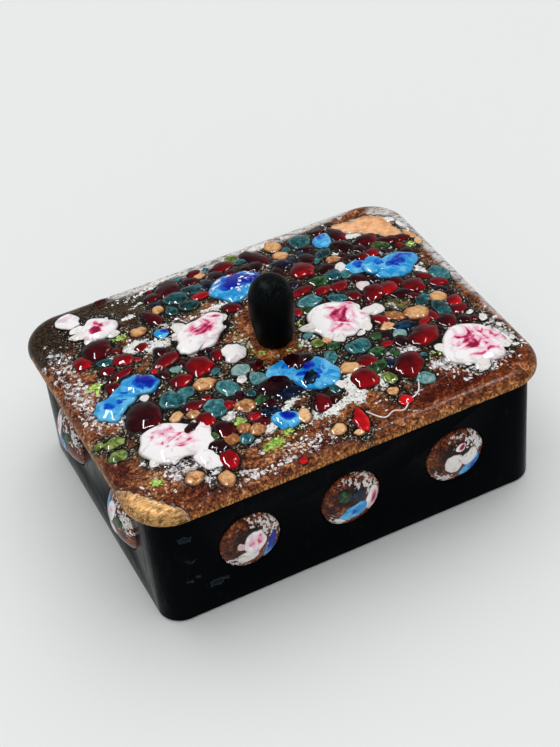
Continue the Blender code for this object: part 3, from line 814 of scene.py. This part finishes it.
def model_chip():
    """One grain of frit: a faceted chip about 2 across."""
    clear_selection()
    bpy.ops.mesh.primitive_ico_sphere_add(subdivisions=1, radius=1.0)
    return take_shape()


def gather(name, copies, faces, material, attributes=None):
    """One piece from many copies of a shape, each an array of points with its attribute values."""
    mesh = bpy.data.meshes.new(name)
    count = len(copies[0])
    points = np.concatenate(copies)
    all_faces = [tuple(v + number * count for v in f) for number in range(len(copies)) for f in faces]
    mesh.from_pydata(points.tolist(), [], all_faces)
    mesh.materials.append(material)
    for label, values in (attributes or {}).items():
        add_attribute(mesh, label, np.concatenate(values))
    mesh.shade_smooth()
    return add_object(name, mesh)


def add_attribute(mesh, label, values):
    kind, field = ("FLOAT_VECTOR", "vector") if values.ndim == 2 else ("FLOAT", "value")
    layer = mesh.attributes.new(label, kind, "POINT")
    layer.data.foreach_set(field, values.astype(np.float32).ravel())


def join(name, pieces):
    activate(pieces[0])
    for piece in pieces:
        piece.select_set(True)
    if len(pieces) > 1:
        bpy.ops.object.join()
    pieces[0].name = name
    pieces[0].data.name = name
    return pieces[0]


def melt(shape, drop, number, ground, ragged=DISC_RAGGED, lift=0.0, rise=None):
    """A drop's points, melted on a surface whose height over (x, y) is ground(x, y), in metres."""
    dice = random.Random(number)
    around = np.arctan2(shape[:, 1], shape[:, 0])
    waver = np.ones(len(shape))
    for wave in WAVES:
        size = ragged * dice.uniform(0.3, 1.0) * WAVE_SIZE / wave
        waver += size * np.sin(wave * around + dice.uniform(0, 2 * math.pi))
    x = shape[:, 0] * waver * drop.length / 2 * MM
    y = shape[:, 1] * waver * drop.width / 2 * MM
    across, along = turned(x, y, drop.turn)
    across += drop.x * MM
    along += drop.y * MM
    if rise is None:
        rise = drop_rise(drop)
    lean = dice.uniform(0, 2 * math.pi)
    uneven = 1 + UNEVENNESS * (shape[:, 0] * math.cos(lean) + shape[:, 1] * math.sin(lean))
    height = np.where(shape[:, 2] > 0, shape[:, 2] * rise * uneven, shape[:, 2] * ROOT)
    return np.stack([across, along, ground(across, along) + height + lift], axis=1)


def drop_rise(drop):
    return min(RISE_SHARE * drop.width * MM, RISE_MAX)


def spread(drop, x, y):
    """How many times its own size a place lies from the drop's middle: 1 is on its edge."""
    along, across = turned(x - drop.x, y - drop.y, -drop.turn)
    return np.hypot(along / (drop.length / 2), across / (drop.width / 2))


def gap(drop, x, y):
    """The distance in mm from a place to the drop's edge, below 0 inside."""
    return (spread(drop, x, y) - 1) * (drop.length + drop.width) / 4


def stacked_lift(drop, laid):
    """How far a drop is raised by the drops that it lies on."""
    lift = 0.0
    for other, other_lift in laid:
        inside = 1 - spread(other, drop.x, drop.y) ** STACK_FULLNESS
        if inside > 0:
            lift = max(lift, other_lift + STACK_SHARE * drop_rise(other) * math.sqrt(inside))
    return lift


def scatter_small_drops(laid, dice):
    """Small drops between the main ones, by kind, at random but seeded places."""
    found = {}
    kept_clear = GROUND["milk"] + GROUND["frost"] + GROUND["lime"] + GROUND["amber"] + GROUND["moss"][:1]
    copper_x, copper_y, copper_reach = COPPER_CLEAR
    for attempt in range(SMALL_DROP_TRIES):
        x, y, half_x, half_y = dice.choice(SMALL_DROP_FIELDS)
        share = (attempt / SMALL_DROP_TRIES) ** 0.6
        width = SMALL_DROP_WIDEST - SMALL_DROP_SHRINK * share + dice.uniform(-0.8, 0.8)
        drop = Drop(
            x + dice.uniform(-half_x, half_x),
            y + dice.uniform(-half_y, half_y),
            width * dice.uniform(1.0, 1.5),
            width,
            dice.uniform(0, 180),
            dice.random() ** 1.3 * 0.85,
        )
        if abs(drop.x) > DROP_LIMIT[0] or abs(drop.y) > DROP_LIMIT[1]:
            continue
        if math.hypot(drop.x, drop.y) < KNOB_CLEAR:
            continue
        if math.hypot(drop.x - copper_x, drop.y - copper_y) < copper_reach:
            continue
        if soft_patches(kept_clear, np.array(drop.x), np.array(drop.y)) > PATCH_CLEAR:
            continue
        if all(gap(other, drop.x, drop.y) > width * SMALL_DROP_GAP for other, _lift in laid):
            laid.append((drop, 0.0))
            found.setdefault(dice.choice(SMALL_DROP_KINDS), []).append(drop)
    return found


def scatter_petals(drops, dice):
    """Small white drops round the edge of each large rose drop, which make it ragged."""
    petals = []
    for rose in drops:
        if rose.length < PETALLED_LENGTH:
            continue
        for step in range(PETALS):
            angle = 2 * math.pi * (step + dice.uniform(-0.45, 0.45)) / PETALS
            reach = dice.uniform(0.70, 0.95)
            x, y = turned(
                rose.length / 2 * reach * math.cos(angle), rose.width / 2 * reach * math.sin(angle), rose.turn
            )
            size = dice.uniform(2.4, 6.4)
            length = size * dice.uniform(1.0, 1.5)
            turn = math.degrees(angle) + rose.turn + dice.uniform(-30, 30)
            petals.append(Drop(rose.x + x, rose.y + y, length, size * 0.8, turn, dice.uniform(0.0, 0.6)))
    return petals


class Lid:
    """The lid's form: a shallow crown inside the shoulder, and a rim rolled down outside it."""

    def __init__(self):
        low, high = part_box("lid")
        self.half_length = (high.x - low.x) / 2
        self.half_width = (high.y - low.y) / 2
        self.rim_bottom = low.z
        self.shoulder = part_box("box_body")[1].z + SEAT_GAP + LID_SHEET
        self.roll_drop = self.shoulder - self.rim_bottom

    def crown(self, x, y):
        along = np.minimum(np.abs(x) / (self.half_length - ROLL_INSET), 1.0)
        across = np.minimum(np.abs(y) / (self.half_width - ROLL_INSET), 1.0)
        flatness = (1 - along**CROWN_FULLNESS) * (1 - across**CROWN_FULLNESS)
        return self.shoulder + CROWN * flatness**2

    def surface(self, x, y):
        """The height of the lid over any place, its rolled rim included."""
        corner = LID_CORNER - ROLL_INSET
        past_x = np.maximum(np.abs(x) - (self.half_length - LID_CORNER), 0.0)
        past_y = np.maximum(np.abs(y) - (self.half_width - LID_CORNER), 0.0)
        past = np.clip((np.hypot(past_x, past_y) - corner) / ROLL_INSET, 0.0, 1.0)
        return self.crown(x, y) - self.roll_drop * (1 - (1 - past**ROLL_FULLNESS) ** (1 / ROLL_FULLNESS))

    def side(self, share, half_side):
        straight = 1 - CORNER_SHARE
        along = np.minimum(np.abs(share) / straight, 1.0) * (half_side - LID_CORNER)
        return along, math.pi / 4 * np.maximum(np.abs(share) - straight, 0.0) / CORNER_SHARE

    def points(self, u, v):
        """Points (u, v) of a square from -1 to 1, laid on the lid, and how far down the roll each is."""
        ring = np.maximum(np.maximum(np.abs(u), np.abs(v)), 1e-9)
        p, q = u / ring, v / ring
        x, turn_x = self.side(p, self.half_length)
        y, turn_y = self.side(q, self.half_width)
        end = np.abs(p) > np.abs(q)
        bend_x = np.where(end, self.half_length - LID_CORNER, x)
        bend_y = np.where(end, y, self.half_width - LID_CORNER)
        out_x = np.where(end, np.cos(turn_y), np.sin(turn_x))
        out_y = np.where(end, np.sin(turn_y), np.cos(turn_x))
        shoulder_x = bend_x + out_x * (LID_CORNER - ROLL_INSET)
        shoulder_y = bend_y + out_y * (LID_CORNER - ROLL_INSET)
        inner = np.minimum(ring / SHOULDER_SHARE, 1.0)
        rolled = np.maximum(ring - SHOULDER_SHARE, 0.0) / (1 - SHOULDER_SHARE)
        reach = ROLL_INSET * np.sin(rolled * math.pi / 2) ** (2 / ROLL_FULLNESS)
        left = np.maximum(np.cos(rolled * math.pi / 2), 0.0) ** (2 / ROLL_FULLNESS)
        x = np.sign(u) * (shoulder_x * inner + out_x * reach)
        y = np.sign(v) * (shoulder_y * inner + out_y * reach)
        z = np.where(rolled > 0, self.shoulder - self.roll_drop * (1 - left), self.crown(x, y))
        return x, y, z, rolled


def soft_patches(patches, x, y):
    """The strongest of some soft round patches at each place in mm."""
    value = np.zeros(np.shape(x))
    for px, py, half_x, half_y, turn, strength in patches:
        along, across = turned(x - px, y - py, -turn)
        value = np.maximum(value, strength * np.exp(-((along / half_x) ** 2 + (across / half_y) ** 2)))
    return value


def bare_share(inward):
    """About 1 on bare copper and 0 on enamel, for a distance in mm inside the patch's edge."""
    return 1 / (1 + np.exp(-inward * COPPER_EDGE))


def near_patch(x, y):
    inward = np.full_like(x, FAR_AWAY)
    for px, py, angle in NEAR_PATCH:
        way = math.radians(angle)
        inward = np.minimum(inward, (x - px) * math.cos(way) + (y - py) * math.sin(way))
    return bare_share(inward)


def far_patch(x, y):
    return bare_share(np.max([-gap(part, x, y) for part in FAR_PATCH], axis=0))


def ripple_at(x, y):
    """A fine unevenness of the lid's enamel at a place, all in mm."""
    return sum(noise.noise(Vector((x, y, level)) / size) * height for size, height, level in RIPPLES)


def make_lid_sheet(lid, laid, coats):
    clear_selection()
    bpy.ops.mesh.primitive_grid_add(x_subdivisions=SHEET_STEPS_X, y_subdivisions=SHEET_STEPS_Y, size=2.0)
    sheet = bpy.context.object
    sheet.name = "lid_sheet"
    mesh = sheet.data
    points, _faces = shape_arrays(sheet)
    x, y, z, rolled = lid.points(points[:, 0], points[:, 1])
    wide_x, wide_y = x / MM, y / MM
    nearest = np.full(len(x), FAR_AWAY)
    second = nearest
    for drop, _lift in laid:
        away = np.maximum(gap(drop, wide_x, wide_y), 0.0)
        second = np.minimum(second, np.maximum(nearest, away))
        nearest = np.minimum(nearest, away)
    flat = 1 - np.clip(rolled * 3, 0, 1)
    meniscus = MENISCUS * np.exp(-nearest / MENISCUS_REACH) * flat
    ripple = np.array([ripple_at(a, b) for a, b in zip(wide_x, wide_y)])
    peach = far_patch(wide_x, wide_y)
    bare = np.maximum(near_patch(wide_x, wide_y), peach)
    crust = CRUST_HEIGHT * np.exp(-((bare - 0.30) / 0.22) ** 2) - COPPER_DEPTH * bare
    keep_rim = 1 - np.clip(rolled, 0, 1)
    z = z + (meniscus + ripple * (0.25 + 0.75 * keep_rim) + crust * keep_rim) * MM
    z = np.maximum(z, lid.rim_bottom)
    pull = 1 - np.abs(ripple) * 0.9 * MM / lid.half_length * np.clip(rolled, 0, 1)
    mesh.vertices.foreach_set("co", np.stack([x * pull, y * pull, z], axis=1).ravel())
    layers = {
        # The dark band round the drops' feet, partly dark enamel and partly painted shade.
        "dark_enamel_and_shade": np.exp(-nearest / DARK_ENAMEL_AND_SHADE_REACH),
        "crowd": np.exp(-(nearest + second) / CROWD_REACH),
        "roll": rolled,
        "bare": bare,
        "peach": peach,
    }
    layers |= {label: soft_patches(patches, wide_x, wide_y) for label, patches in GROUND.items()}
    for label, values in layers.items():
        add_attribute(mesh, label, values)
    mesh.materials.append(coats["copper_enamel"])
    mesh.materials.append(coats["counter_enamel"])
    apply_modifier(sheet, "SOLIDIFY", "thickness", thickness=LID_SHEET, offset=-1, material_offset=1)
    mesh.shade_smooth()
    return sheet


def lay_out_drops(dice):
    """All drops of the lid by kind, each with its own number and lift, and a plain list of them."""
    laid = []
    numbers = itertools.count(1)
    kinds = {kind: [] for kind in LID_DROPS}
    for kind, drops in LID_DROPS.items():
        for values in drops:
            drop = Drop(*values)
            lift = stacked_lift(drop, laid)
            kinds[kind].append((drop, next(numbers), lift))
            laid.append((drop, lift))
    for petal in scatter_petals([entry[0] for entry in kinds["rose_glass"]], dice):
        kinds["milk_glass"].append((petal, next(numbers), 0.0))
        laid.append((petal, 0.0))
    for kind, drops in scatter_small_drops(laid, dice).items():
        kinds[kind] += [(drop, next(numbers), 0.0) for drop in drops]
    return kinds, laid


def make_lid(coats):
    lid = Lid()
    dice = random.Random(SEED)
    kinds, laid = lay_out_drops(dice)
    shapes = {True: model_drop(56, 22), False: model_drop(24, 12)}
    pieces = [make_lid_sheet(lid, laid, coats)]
    for kind, drops in kinds.items():
        made = []
        for wanted, (points, faces) in shapes.items():
            chosen = [entry for entry in drops if (entry[0].length > FINE_LENGTH) == wanted]
            if not chosen:
                continue
            ragged = RAGGED.get(kind, PLAIN_RAGGED)
            copies = [melt(points, drop, n, lid.surface, ragged, lift) for drop, n, lift in chosen]
            tints = [np.full(len(points), drop.tint) for drop, _n, _lift in chosen]
            layers = {"drop": [points] * len(chosen), "tint": tints}
            made.append(gather(kind, copies, faces, coats[kind], layers))
        pieces.append(join(kind.replace("glass", "drops"), made))
    pieces.append(make_thread(lid, coats["milk_glass"]))
    return pieces + make_frit(lid, laid, coats, dice)


def make_thread(lid, material):
    """A thin white thread of glass, lying in curls on the lid."""
    line = bpy.data.curves.new("white_thread", "CURVE")
    line.dimensions = "3D"
    line.bevel_depth = THREAD_WIDTH / 2
    line.bevel_resolution = 2
    line.use_fill_caps = True
    spline = line.splines.new("NURBS")
    spline.points.add(len(THREAD) - 1)
    for point, (x, y) in zip(spline.points, THREAD):
        height = float(lid.surface(x * MM, y * MM)) + THREAD_WIDTH * 0.4
        point.co = (x * MM, y * MM, height, 1.0)
    spline.use_endpoint_u = True
    activate(add_object("white_thread", line))
    bpy.ops.object.convert(target="MESH")
    thread = bpy.context.object
    thread.data.materials.append(material)
    thread.data.shade_smooth()
    return thread


def make_frit(lid, laid, coats, dice):
    """Crushed glass lying where the ground's frost, milk and lime patches are."""
    chip, faces = model_chip()
    pieces = []
    for name, (layers, wanted, least) in FRIT.items():
        patches = [patch for layer in layers for patch in GROUND[layer]]
        copies = []
        while len(copies) < wanted:
            px, py, half_x, half_y, turn, strength = dice.choice(patches)
            a = dice.gauss(0, FRIT_SPREAD) * half_x
            b = dice.gauss(0, FRIT_SPREAD) * half_y
            x, y = turned(a, b, turn)
            x, y = px + x, py + y
            size = (least + (FRIT_LARGEST - least) * dice.random() ** 1.6) * (0.6 + 0.4 * strength)
            inside = abs(x) < FRIT_LIMIT[0] and abs(y) < FRIT_LIMIT[1] and math.hypot(x, y) > KNOB_CLEAR
            if not inside or min(gap(drop, x, y) for drop, _lift in laid) < 0.1:
                size *= 0.5 if inside else 0.0
            if size <= least * 0.6:
                wanted -= 1
                continue
            yaw = Matrix.Rotation(dice.uniform(0, math.pi), 3, "Z")
            tilt = Matrix.Rotation(dice.uniform(-0.5, 0.5), 3, "X")
            stretch = np.array([dice.uniform(0.8, 1.9), dice.uniform(0.5, 1.1), 0.4]) * size * MM
            body = (chip * stretch) @ np.array(yaw @ tilt).T
            ground = float(lid.surface(x * MM, y * MM) + FRIT_LIFT)
            copies.append(body + np.array([x * MM, y * MM, ground]))
        piece = gather(name, copies, faces, coats[name])
        piece.data.shade_flat()
        pieces.append(piece)
    return pieces


def rounded_block(name, low, high, corner):
    """A block with rounded upright edges, from a cube whose four edges are bevelled."""
    clear_selection()
    bpy.ops.mesh.primitive_cube_add(size=1.0, location=(low + high) / 2)
    block = bpy.context.object
    block.name = name
    block.scale = high - low
    bpy.ops.object.transform_apply(location=True, rotation=True, scale=True)
    bpy.ops.object.mode_set(mode="EDIT")
    bpy.ops.mesh.select_mode(type="EDGE")
    bpy.ops.mesh.select_all(action="DESELECT")
    bpy.ops.object.mode_set(mode="OBJECT")
    for edge in block.data.edges:
        a, b = (block.data.vertices[v].co for v in edge.vertices)
        edge.select = abs(a.z - b.z) > (high.z - low.z) / 2
    bpy.ops.object.mode_set(mode="EDIT")
    bpy.ops.mesh.bevel(offset=corner, segments=CORNER_SEGMENTS)
    bpy.ops.object.mode_set(mode="OBJECT")
    return block


def apply_modifier(thing, kind, name, **settings):
    activate(thing)
    modifier = thing.modifiers.new(name, kind)
    for key, value in settings.items():
        setattr(modifier, key, value)
    bpy.ops.object.modifier_apply(modifier=modifier.name)


def cut(thing, cutter):
    apply_modifier(thing, "BOOLEAN", "cut", operation="DIFFERENCE", object=cutter)
    bpy.data.objects.remove(cutter)


def soften(thing, width, segments):
    settings = {"width": width, "segments": segments, "limit_method": "ANGLE"}
    apply_modifier(thing, "BEVEL", "soft", angle_limit=math.radians(60), **settings)


def disc_frame(node):
    """A disc's centre on the wall's face, its directions right, up and out of the wall, and its radius."""
    low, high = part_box(node)
    middle = (low + high) / 2
    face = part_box("box_body")
    side = -1 if "front" in node or "left" in node else 1
    axis = 1 if "front" in node or "back" in node else 0
    outward = Vector((0, 0, 0))
    outward[axis] = side
    middle[axis] = face[max(side, 0)][axis]
    upward = Vector((0, 0, 1))
    return middle, upward.cross(outward), upward, outward, (high.z - low.z) / 2


def make_body(disc_nodes, material):
    low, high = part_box("box_body")
    body = rounded_block("lacquer_body", low, high, BODY_CORNER)
    inside_low = low + Vector((WALL, WALL, FLOOR))
    inside_high = high + Vector((-WALL, -WALL, WALL))
    cut(body, rounded_block("hollow", inside_low, inside_high, CAVITY_CORNER))
    soften(body, BODY_EDGE_ROUND, 4)
    for node in disc_nodes:
        centre, _right, _upward, outward, radius = disc_frame(node)
        clear_selection()
        bpy.ops.mesh.primitive_cylinder_add(
            vertices=TURNED_SIDES,
            radius=radius + DISC_CLEARANCE,
            depth=2 * (DISC_EDGE + DISC_BED_GAP),
            location=centre,
            rotation=outward.to_track_quat("Z", "Y").to_euler(),
        )
        cut(body, bpy.context.object)
    soften(body, POCKET_LIP, 2)
    activate(body)
    bpy.ops.object.shade_smooth_by_angle(angle=math.radians(35))
    body.data.materials.clear()
    body.data.materials.append(material)
    return body


def turned_peg(name, stations):
    """A turned piece, extruded upwards from its foot and resized ring by ring."""
    clear_selection()
    radius, height = stations[0]
    bpy.ops.mesh.primitive_circle_add(vertices=TURNED_SIDES, radius=radius, fill_type="NGON")
    peg = bpy.context.object
    peg.name = name
    bpy.ops.object.mode_set(mode="EDIT")
    bpy.ops.mesh.select_all(action="SELECT")
    for wider, higher in stations[1:]:
        bpy.ops.mesh.extrude_region_move(TRANSFORM_OT_translate={"value": (0, 0, higher - height)})
        share = wider / radius
        bpy.ops.transform.resize(value=(share, share, 1), center_override=(0, 0, higher))
        radius, height = wider, higher
    bpy.ops.mesh.select_all(action="SELECT")
    bpy.ops.mesh.normals_make_consistent(inside=False)
    bpy.ops.object.mode_set(mode="OBJECT")
    return peg


def make_knob(material):
    low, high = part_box("knob")
    tall = high.z - low.z
    widest = (high.x - low.x) / 2
    head = tall - KNOB_NECK
    stations = [(KNOB_FOOT - KNOB_FOOT_ROUND, 0.0)]
    stations.append((KNOB_FOOT - KNOB_FOOT_ROUND * 0.3, KNOB_FOOT_ROUND * 0.3))
    stations.append((KNOB_FOOT, KNOB_FOOT_ROUND))
    for step in range(1, NECK_STEPS + 1):
        up = KNOB_FOOT_ROUND + (KNOB_NECK - KNOB_FOOT_ROUND) * step / NECK_STEPS
        stations.append((widest - (widest - KNOB_FOOT) * max(1 - up / KNOB_NECK, 0.0) ** 1.5, up))
    for step in range(1, HEAD_STEPS):
        angle = math.pi / 2 * step / HEAD_STEPS
        radius = widest * math.cos(angle) ** (2 / KNOB_FULLNESS)
        stations.append((radius, KNOB_NECK + head * math.sin(angle) ** (2 / KNOB_FULLNESS)))
    stations.append((KNOB_TIP, tall))
    knob = turned_peg("black_knob", stations)
    knob.location = ((low.x + high.x) / 2, (low.y + high.y) / 2, low.z)
    bpy.ops.object.transform_apply(location=True, rotation=True, scale=True)
    bpy.ops.object.shade_smooth_by_angle(angle=math.radians(50))
    knob.data.materials.append(material)
    return knob


def hidden_disc_drops(dice):
    """Generic glass for a disc that doesn't show: four drops round the middle."""
    drops = []
    start = dice.uniform(0, 360)
    for number, (kind, longest) in enumerate(HIDDEN_DISC_DROPS.items()):
        angle = math.radians(start + number * 95 + dice.uniform(-15, 15))
        reach = dice.uniform(0.3, 0.52)
        length = longest * dice.uniform(0.85, 1.1)
        width = length * dice.uniform(0.55, 0.85)
        x, y = reach * math.cos(angle), reach * math.sin(angle)
        drops.append((kind, x, y, length, width, math.degrees(angle) + 90, dice.uniform(0.2, 0.8)))
    return drops


def dome_sphere(radius):
    """How far a disc's enamel rises at its middle, and the radius of the sphere that it is part of."""
    rise = DISC_DOME - DISC_GLASS
    return rise, (radius**2 + rise**2) / (2 * rise)


def dome_base(radius):
    """A disc's dome with its straight edge and flat back, from a sphere cut by a plane."""
    rise, sphere = dome_sphere(radius)
    clear_selection()
    bpy.ops.mesh.primitive_uv_sphere_add(
        segments=96, ring_count=150, radius=sphere, location=(0, 0, rise - sphere)
    )
    bpy.ops.object.transform_apply(location=True, rotation=True, scale=True)
    bpy.ops.object.mode_set(mode="EDIT")
    bpy.ops.mesh.select_all(action="SELECT")
    bpy.ops.mesh.bisect(plane_co=(0, 0, 0), plane_no=(0, 0, 1), clear_inner=True)
    bpy.ops.mesh.select_all(action="DESELECT")
    bpy.ops.mesh.select_non_manifold()
    bpy.ops.mesh.extrude_region_move(TRANSFORM_OT_translate={"value": (0, 0, -DISC_EDGE)})
    bpy.ops.mesh.edge_face_add()
    bpy.ops.mesh.select_all(action="SELECT")
    bpy.ops.mesh.normals_make_consistent(inside=False)
    bpy.ops.object.mode_set(mode="OBJECT")
    return take_shape()


def make_disc(node, base, shape, coats, dice, number):
    centre, right, upward, outward, radius = disc_frame(node)
    axes = np.array([right, upward, outward])
    rise, sphere = dome_sphere(radius)

    def to_world(points):
        return points @ axes + np.array(centre)

    def dome_height(a, b):
        return np.sqrt(np.maximum(sphere**2 - a**2 - b**2, 0.0)) - sphere + rise

    points, faces = base
    x, y = points[:, 0] / radius, points[:, 1] / radius
    layers = {label: [soft_patches(patches, x, y)] for label, patches in DISC_GROUND.items()}
    made = [gather(node + "_ground", [to_world(points)], faces, coats["disc_enamel"], layers)]
    flat, drop_faces = shape
    limit = radius - DISC_DROP_INSET
    drops = DISC_DROPS.get(node) or hidden_disc_drops(dice)
    for order, (kind, share_x, share_y, length, width, turn, tint) in enumerate(drops):
        drop = Drop(share_x * radius / MM, share_y * radius / MM, length, width, turn, tint)
        laid = melt(flat, drop, number * DISC_SEEDS + order, dome_height, rise=DISC_GLASS)
        reach = np.hypot(laid[:, 0], laid[:, 1])
        laid[:, :2] *= np.where(reach > limit, limit / np.maximum(reach, 1e-9), 1.0)[:, None]
        top = flat[:, 2] * np.where(flat[:, 2] > 0, DISC_GLASS * (0.75 + 0.25 * order / 3), ROOT)
        laid[:, 2] = dome_height(laid[:, 0], laid[:, 1]) + top
        layers = {"drop": [flat], "tint": [np.full(len(flat), tint)]}
        made.append(gather(f"{node}_{order}", [to_world(laid)], drop_faces, coats[kind], layers))
    return join("enamel_" + node, made)


def place_camera():
    azimuth, elevation = math.radians(CAMERA_AZIMUTH), math.radians(CAMERA_ELEVATION)
    back = Vector((
        math.sin(azimuth) * math.cos(elevation),
        -math.cos(azimuth) * math.cos(elevation),
        math.sin(elevation),
    ))
    data = bpy.data.cameras.new("camera")
    data.sensor_width = SENSOR
    data.lens = CAMERA_LENS
    data.clip_start = 0.01
    camera = add_object("camera", data)
    camera.location = Vector(CAMERA_AIM) + back * CAMERA_DISTANCE
    camera.rotation_mode = "QUATERNION"
    roll = Quaternion((0, 0, 1), math.radians(CAMERA_ROLL))
    camera.rotation_quaternion = (-back).to_track_quat("-Z", "Y") @ roll
    bpy.context.scene.camera = camera


def add_light(name, place, aim, along, size, radiance, mirrored):
    """A rectangular light, long in the direction along, seen only in reflections if mirrored."""
    data = bpy.data.lights.new(name, "AREA")
    data.shape = "RECTANGLE"
    data.size, data.size_y = size
    data.energy = radiance * math.pi * size[0] * size[1]
    light = add_object(name, data)
    light.location = place
    back = (Vector(place) - Vector(aim)).normalized()
    side = Vector(along).cross(back).normalized()
    light.rotation_mode = "QUATERNION"
    light.rotation_quaternion = Matrix((side, back.cross(side), back)).transposed().to_quaternion()
    light.visible_glossy = mirrored
    light.visible_diffuse = not mirrored


def make_room():
    """A room that is pale at the horizon and dimmer above."""
    world = bpy.data.worlds.new("room")
    world.use_nodes = True
    tree = world.node_tree
    place = tree.nodes.new("ShaderNodeTexCoord")
    height = tree.nodes.new("ShaderNodeSeparateXYZ")
    ramp = tree.nodes.new("ShaderNodeValToRGB")
    for element, (position, colour) in zip(ramp.color_ramp.elements, ROOM_STOPS):
        element.position = position
        element.color = colour
    tree.links.new(place.outputs["Generated"], height.inputs[0])
    tree.links.new(height.outputs["Z"], ramp.inputs["Fac"])
    tree.links.new(ramp.outputs["Color"], tree.nodes["Background"].inputs["Color"])
    return world


def light_the_stage():
    clear_selection()
    bpy.ops.mesh.primitive_plane_add(size=FLOOR_SIZE, location=(0, 0, -FLOOR_GAP))
    floor = bpy.context.object
    floor.name = "floor"
    floor.data.materials.append(Coat("pale_floor", Roughness=0.75, Base_Color=linear(229, 231, 230)).material)
    azimuth = math.radians(CAMERA_AZIMUTH)
    near = Vector((math.sin(azimuth), -math.cos(azimuth), 0))
    right = Vector((math.cos(azimuth), math.sin(azimuth), 0))
    up = Vector((0, 0, 1))
    middle = Vector((0, 0, 0.05))
    left_window = middle + up * 0.75 - right * 0.28 - near * 0.16
    left_foot = left_window + near * 0.23 + right * 0.08
    right_window = middle + up * 0.70 + right * 0.30 - near * 0.20
    add_light("overhead", up * 2.2 - near * 0.5, middle, right, (4.2, 4.2), 1.51, False)
    add_light("front_fill", near * 1.6 + up * 0.9, middle, up, (1.4, 1.0), 1.2, False)
    add_light("left_window", left_window, middle, near, (0.030, 0.46), WINDOW_LEFT, True)
    add_light("left_window_foot", left_foot, middle, right, (0.028, 0.16), WINDOW_LEFT, True)
    add_light("right_window", right_window, middle, near, (0.020, 0.24), WINDOW_RIGHT, True)
    bpy.context.scene.world = make_room()
    bpy.context.scene.view_settings.view_transform = "Standard"


def finish_piece(piece, nodes=()):
    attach(piece, "root")
    if nodes:
        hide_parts(*nodes)


def main():
    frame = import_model()
    place_camera()
    light_the_stage()
    coats = {name: make(name) for name, make in COATS.items()}
    disc_nodes = sorted(name for name in frame["nodes"] if name.startswith("disc_"))
    finish_piece(make_body(disc_nodes, lacquer_coat()), ["box_body"])
    finish_piece(make_knob(knob_coat()), ["knob"])
    for number, piece in enumerate(make_lid(coats)):
        finish_piece(piece, ["lid"] if number == 0 else ())
    dice = random.Random(SEED)
    base = dome_base(disc_frame(disc_nodes[0])[-1])
    shape = model_drop(32, 18)
    for number, node in enumerate(disc_nodes):
        finish_piece(make_disc(node, base, shape, coats, dice, number), [node])


main()
